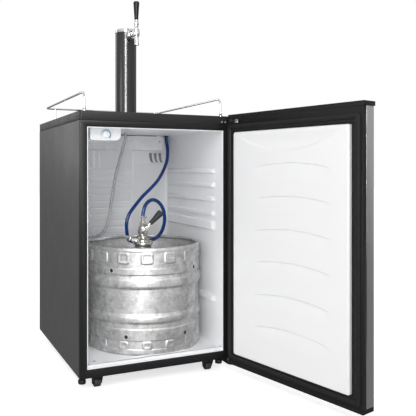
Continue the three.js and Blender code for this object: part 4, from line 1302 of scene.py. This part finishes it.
def make_hinges(m):
    refined("top_hinge_bracket", m["enamel"], 0.5)
    refined("bottom_hinge_bracket", m["enamel"], 0.5)
    rivets = Shape()
    for x in (481, 493):
        rivets.screw((x, -3.4, 783.5), "y", 2.6, 1.2, -1)
    rivets.piece("hinge_screws", m["zinc"], "cabinet")
    low = Shape()
    for y in (16, 34):
        low.screw((501, y, -14.4), "z", 2.8, 1.2, -1)
    low.screw((HINGE_X, HINGE_Y, -14.4), "z", 3.4, 1.2, -1)
    low.piece("lower_hinge_screws", m["zinc"], "cabinet")


# ---------------------------------------------------------------- feet and casters


def make_feet(m):
    for i, (x, y) in enumerate(((12, 20), (480, 20))):
        name = f"levelling_foot_{i + 1}"
        foot = Shape()
        foot.lathe([(0, -19), (10.4, -19), (11.4, -18), (11.4, -8), (10.6, -6.6), (9, -6), (5, -5.8), (4, -5),
                    (4, 19.8), (0, 20)], (x, y, 0), "z", 48)
        for k in range(16):
            a = 2 * math.pi * k / 16
            rib_x, rib_y = x + 11.2 * math.cos(a), y + 11.2 * math.sin(a)
            foot.tube([(rib_x, rib_y, z) for z in (-17.4, -13, -8.6)], 0.7, 6)
        foot.piece(name + "_detail", m["black"], name, name)


def make_casters(m):
    for name, x, y in (("front_left", 63, 30), ("front_right", 445, 30), ("rear_left", 63, 545),
                       ("rear_right", 445, 545)):
        refined(f"caster_{name}_fork", m["black"], 0.9, segments=3)
        hood = Shape()
        hood.lathe([(16.8, -1), (16.8, -6), (15.4, -8.6), (12.4, -11), (9.6, -12)], (x, y, 0), "z", 40)
        hood.piece(f"caster_{name}_hood", m["black"], f"caster_{name}")
        wheel = Shape()
        wheel.lathe([(2.7, -9.6), (4.4, -10), (6, -9), (9.4, -8.6), (10.4, -9.8), (12.6, -10), (13.7, -9),
                     (14, -7.4), (14, -1.2), (12.6, -0.5), (12.6, 0.5), (14, 1.2), (14, 7.4), (13.7, 9),
                     (12.6, 10), (10.4, 9.8), (9.4, 8.6), (6, 9), (4.4, 10), (2.7, 9.6)], (x, y + 6, -26),
                    "x", 48, closed=True)
        wheel.piece(f"caster_{name}_tread", m["rubber"], f"wheel_{name}", f"caster_{name}_wheel")


# ---------------------------------------------------------------- drip tray and back


def make_tray(m):
    refined("drip_tray", m["black"], 0.8, segments=3)
    rings = []
    for inset, z in ((0.4, 810.6), (0, 811), (0, 812.9), (0.4, 813.3)):
        radii = (8 - inset,) * 4
        outer = rounded_outline(176.6 + inset, 125.6 + inset, 333.4 - inset, 246.4 - inset, radii, 6)
        rings.append([(x, y, z) for x, y in outer])
    for grow, z in ((0.4, 813.3), (0.8, 812.9), (0.8, 811), (0.4, 810.6)):
        inner = rounded_outline(187.4 - grow, 136.4 - grow, 313.6 + grow, 235.6 + grow, (1.5,) * 4, 6)
        rings.append([(x, y, z) for x, y in inner])
    grate = Shape().grid(np.array(rings + rings[:1]), wrap_columns=True)
    for k in range(10):
        grate.box((194 + 12 * k, 135.8, 810.8), (199 + 12 * k, 236.2, 813.1))
    grate.piece("drip_grate_bars", m["grate"], "drip_grate", "drip_grate", bevel=0.3, slot="stainless")


def make_back(m):
    refined("back_panel", m["enamel"], 0.6)
    refined("base_plate", m["zinc"], 0.4)
    refined("power_inlet", m["black"], 0.8)
    refined("compressor", m["black"], 2.0, segments=3)
    refined("line_grommet", m["rubber"], 0.4)
    ribs = Shape()
    for x in (90, 170, 340, 420):
        ribs.tube([(x, 596.6, z) for z in np.linspace(250, 735, 12)], 2.2, 8)
    for z in (250, 735):
        ribs.tube([(x, 596.6, z) for x in np.linspace(90, 420, 12)], 2.2, 8)
    ribs.piece("back_panel_beads", m["enamel"], "cabinet")
    screws = Shape()
    for x in (14, 130, 255, 380, 496):
        for z in (219, 764):
            screws.screw((x, 596.9, z), "y", 3.6, 1.5, 1)
    screws.piece("back_panel_screws", m["zinc"], "cabinet")
    refrigerant_tubes(m)


def refrigerant_tubes(m):
    """Two copper lines from the compressor and a flat coil beside it."""
    pipes = Shape()
    pipes.tube(filleted([(206, 540, 118), (206, 540, 150), (300, 552, 150), (300, 552, 60), (340, 560, 60),
                         (340, 560, 200)], 12, 6), 2.6, 12)
    pipes.tube(filleted([(176, 532, 118), (176, 532, 172), (60, 560, 172), (60, 560, 40), (40, 560, 40),
                         (40, 560, 200)], 12, 6), 3.0, 12)
    coil = []
    for k in range(5):
        ends = (395, 480) if k % 2 else (480, 395)
        coil += [(x, 552, 66 + 26 * k) for x in ends]
    pipes.tube(filleted(coil, 9, 5), 2.4, 10)
    pipes.piece("refrigerant_tubes", m["copper"], "cabinet")


def paint_hidden(m):
    for node in ("insulation_foam", "door_foam"):
        paint(node, m["foam"])
    paint("faucet_shaft", m["chrome"])


# ---------------------------------------------------------------- all of it


def main():
    make_camera()
    m = make_materials()
    make_hoses(m)
    make_shell(m)
    make_liner(m)
    make_thermostat(m)
    make_evaporator(m)
    make_vent(m)
    make_rail(m)
    make_tower(m)
    make_shank(m)
    make_faucet(m)
    make_keg(m)
    make_coupler(m)
    make_door(m)
    make_hinges(m)
    make_feet(m)
    make_casters(m)
    make_tray(m)
    make_back(m)
    paint_hidden(m)
    make_stage()


main()
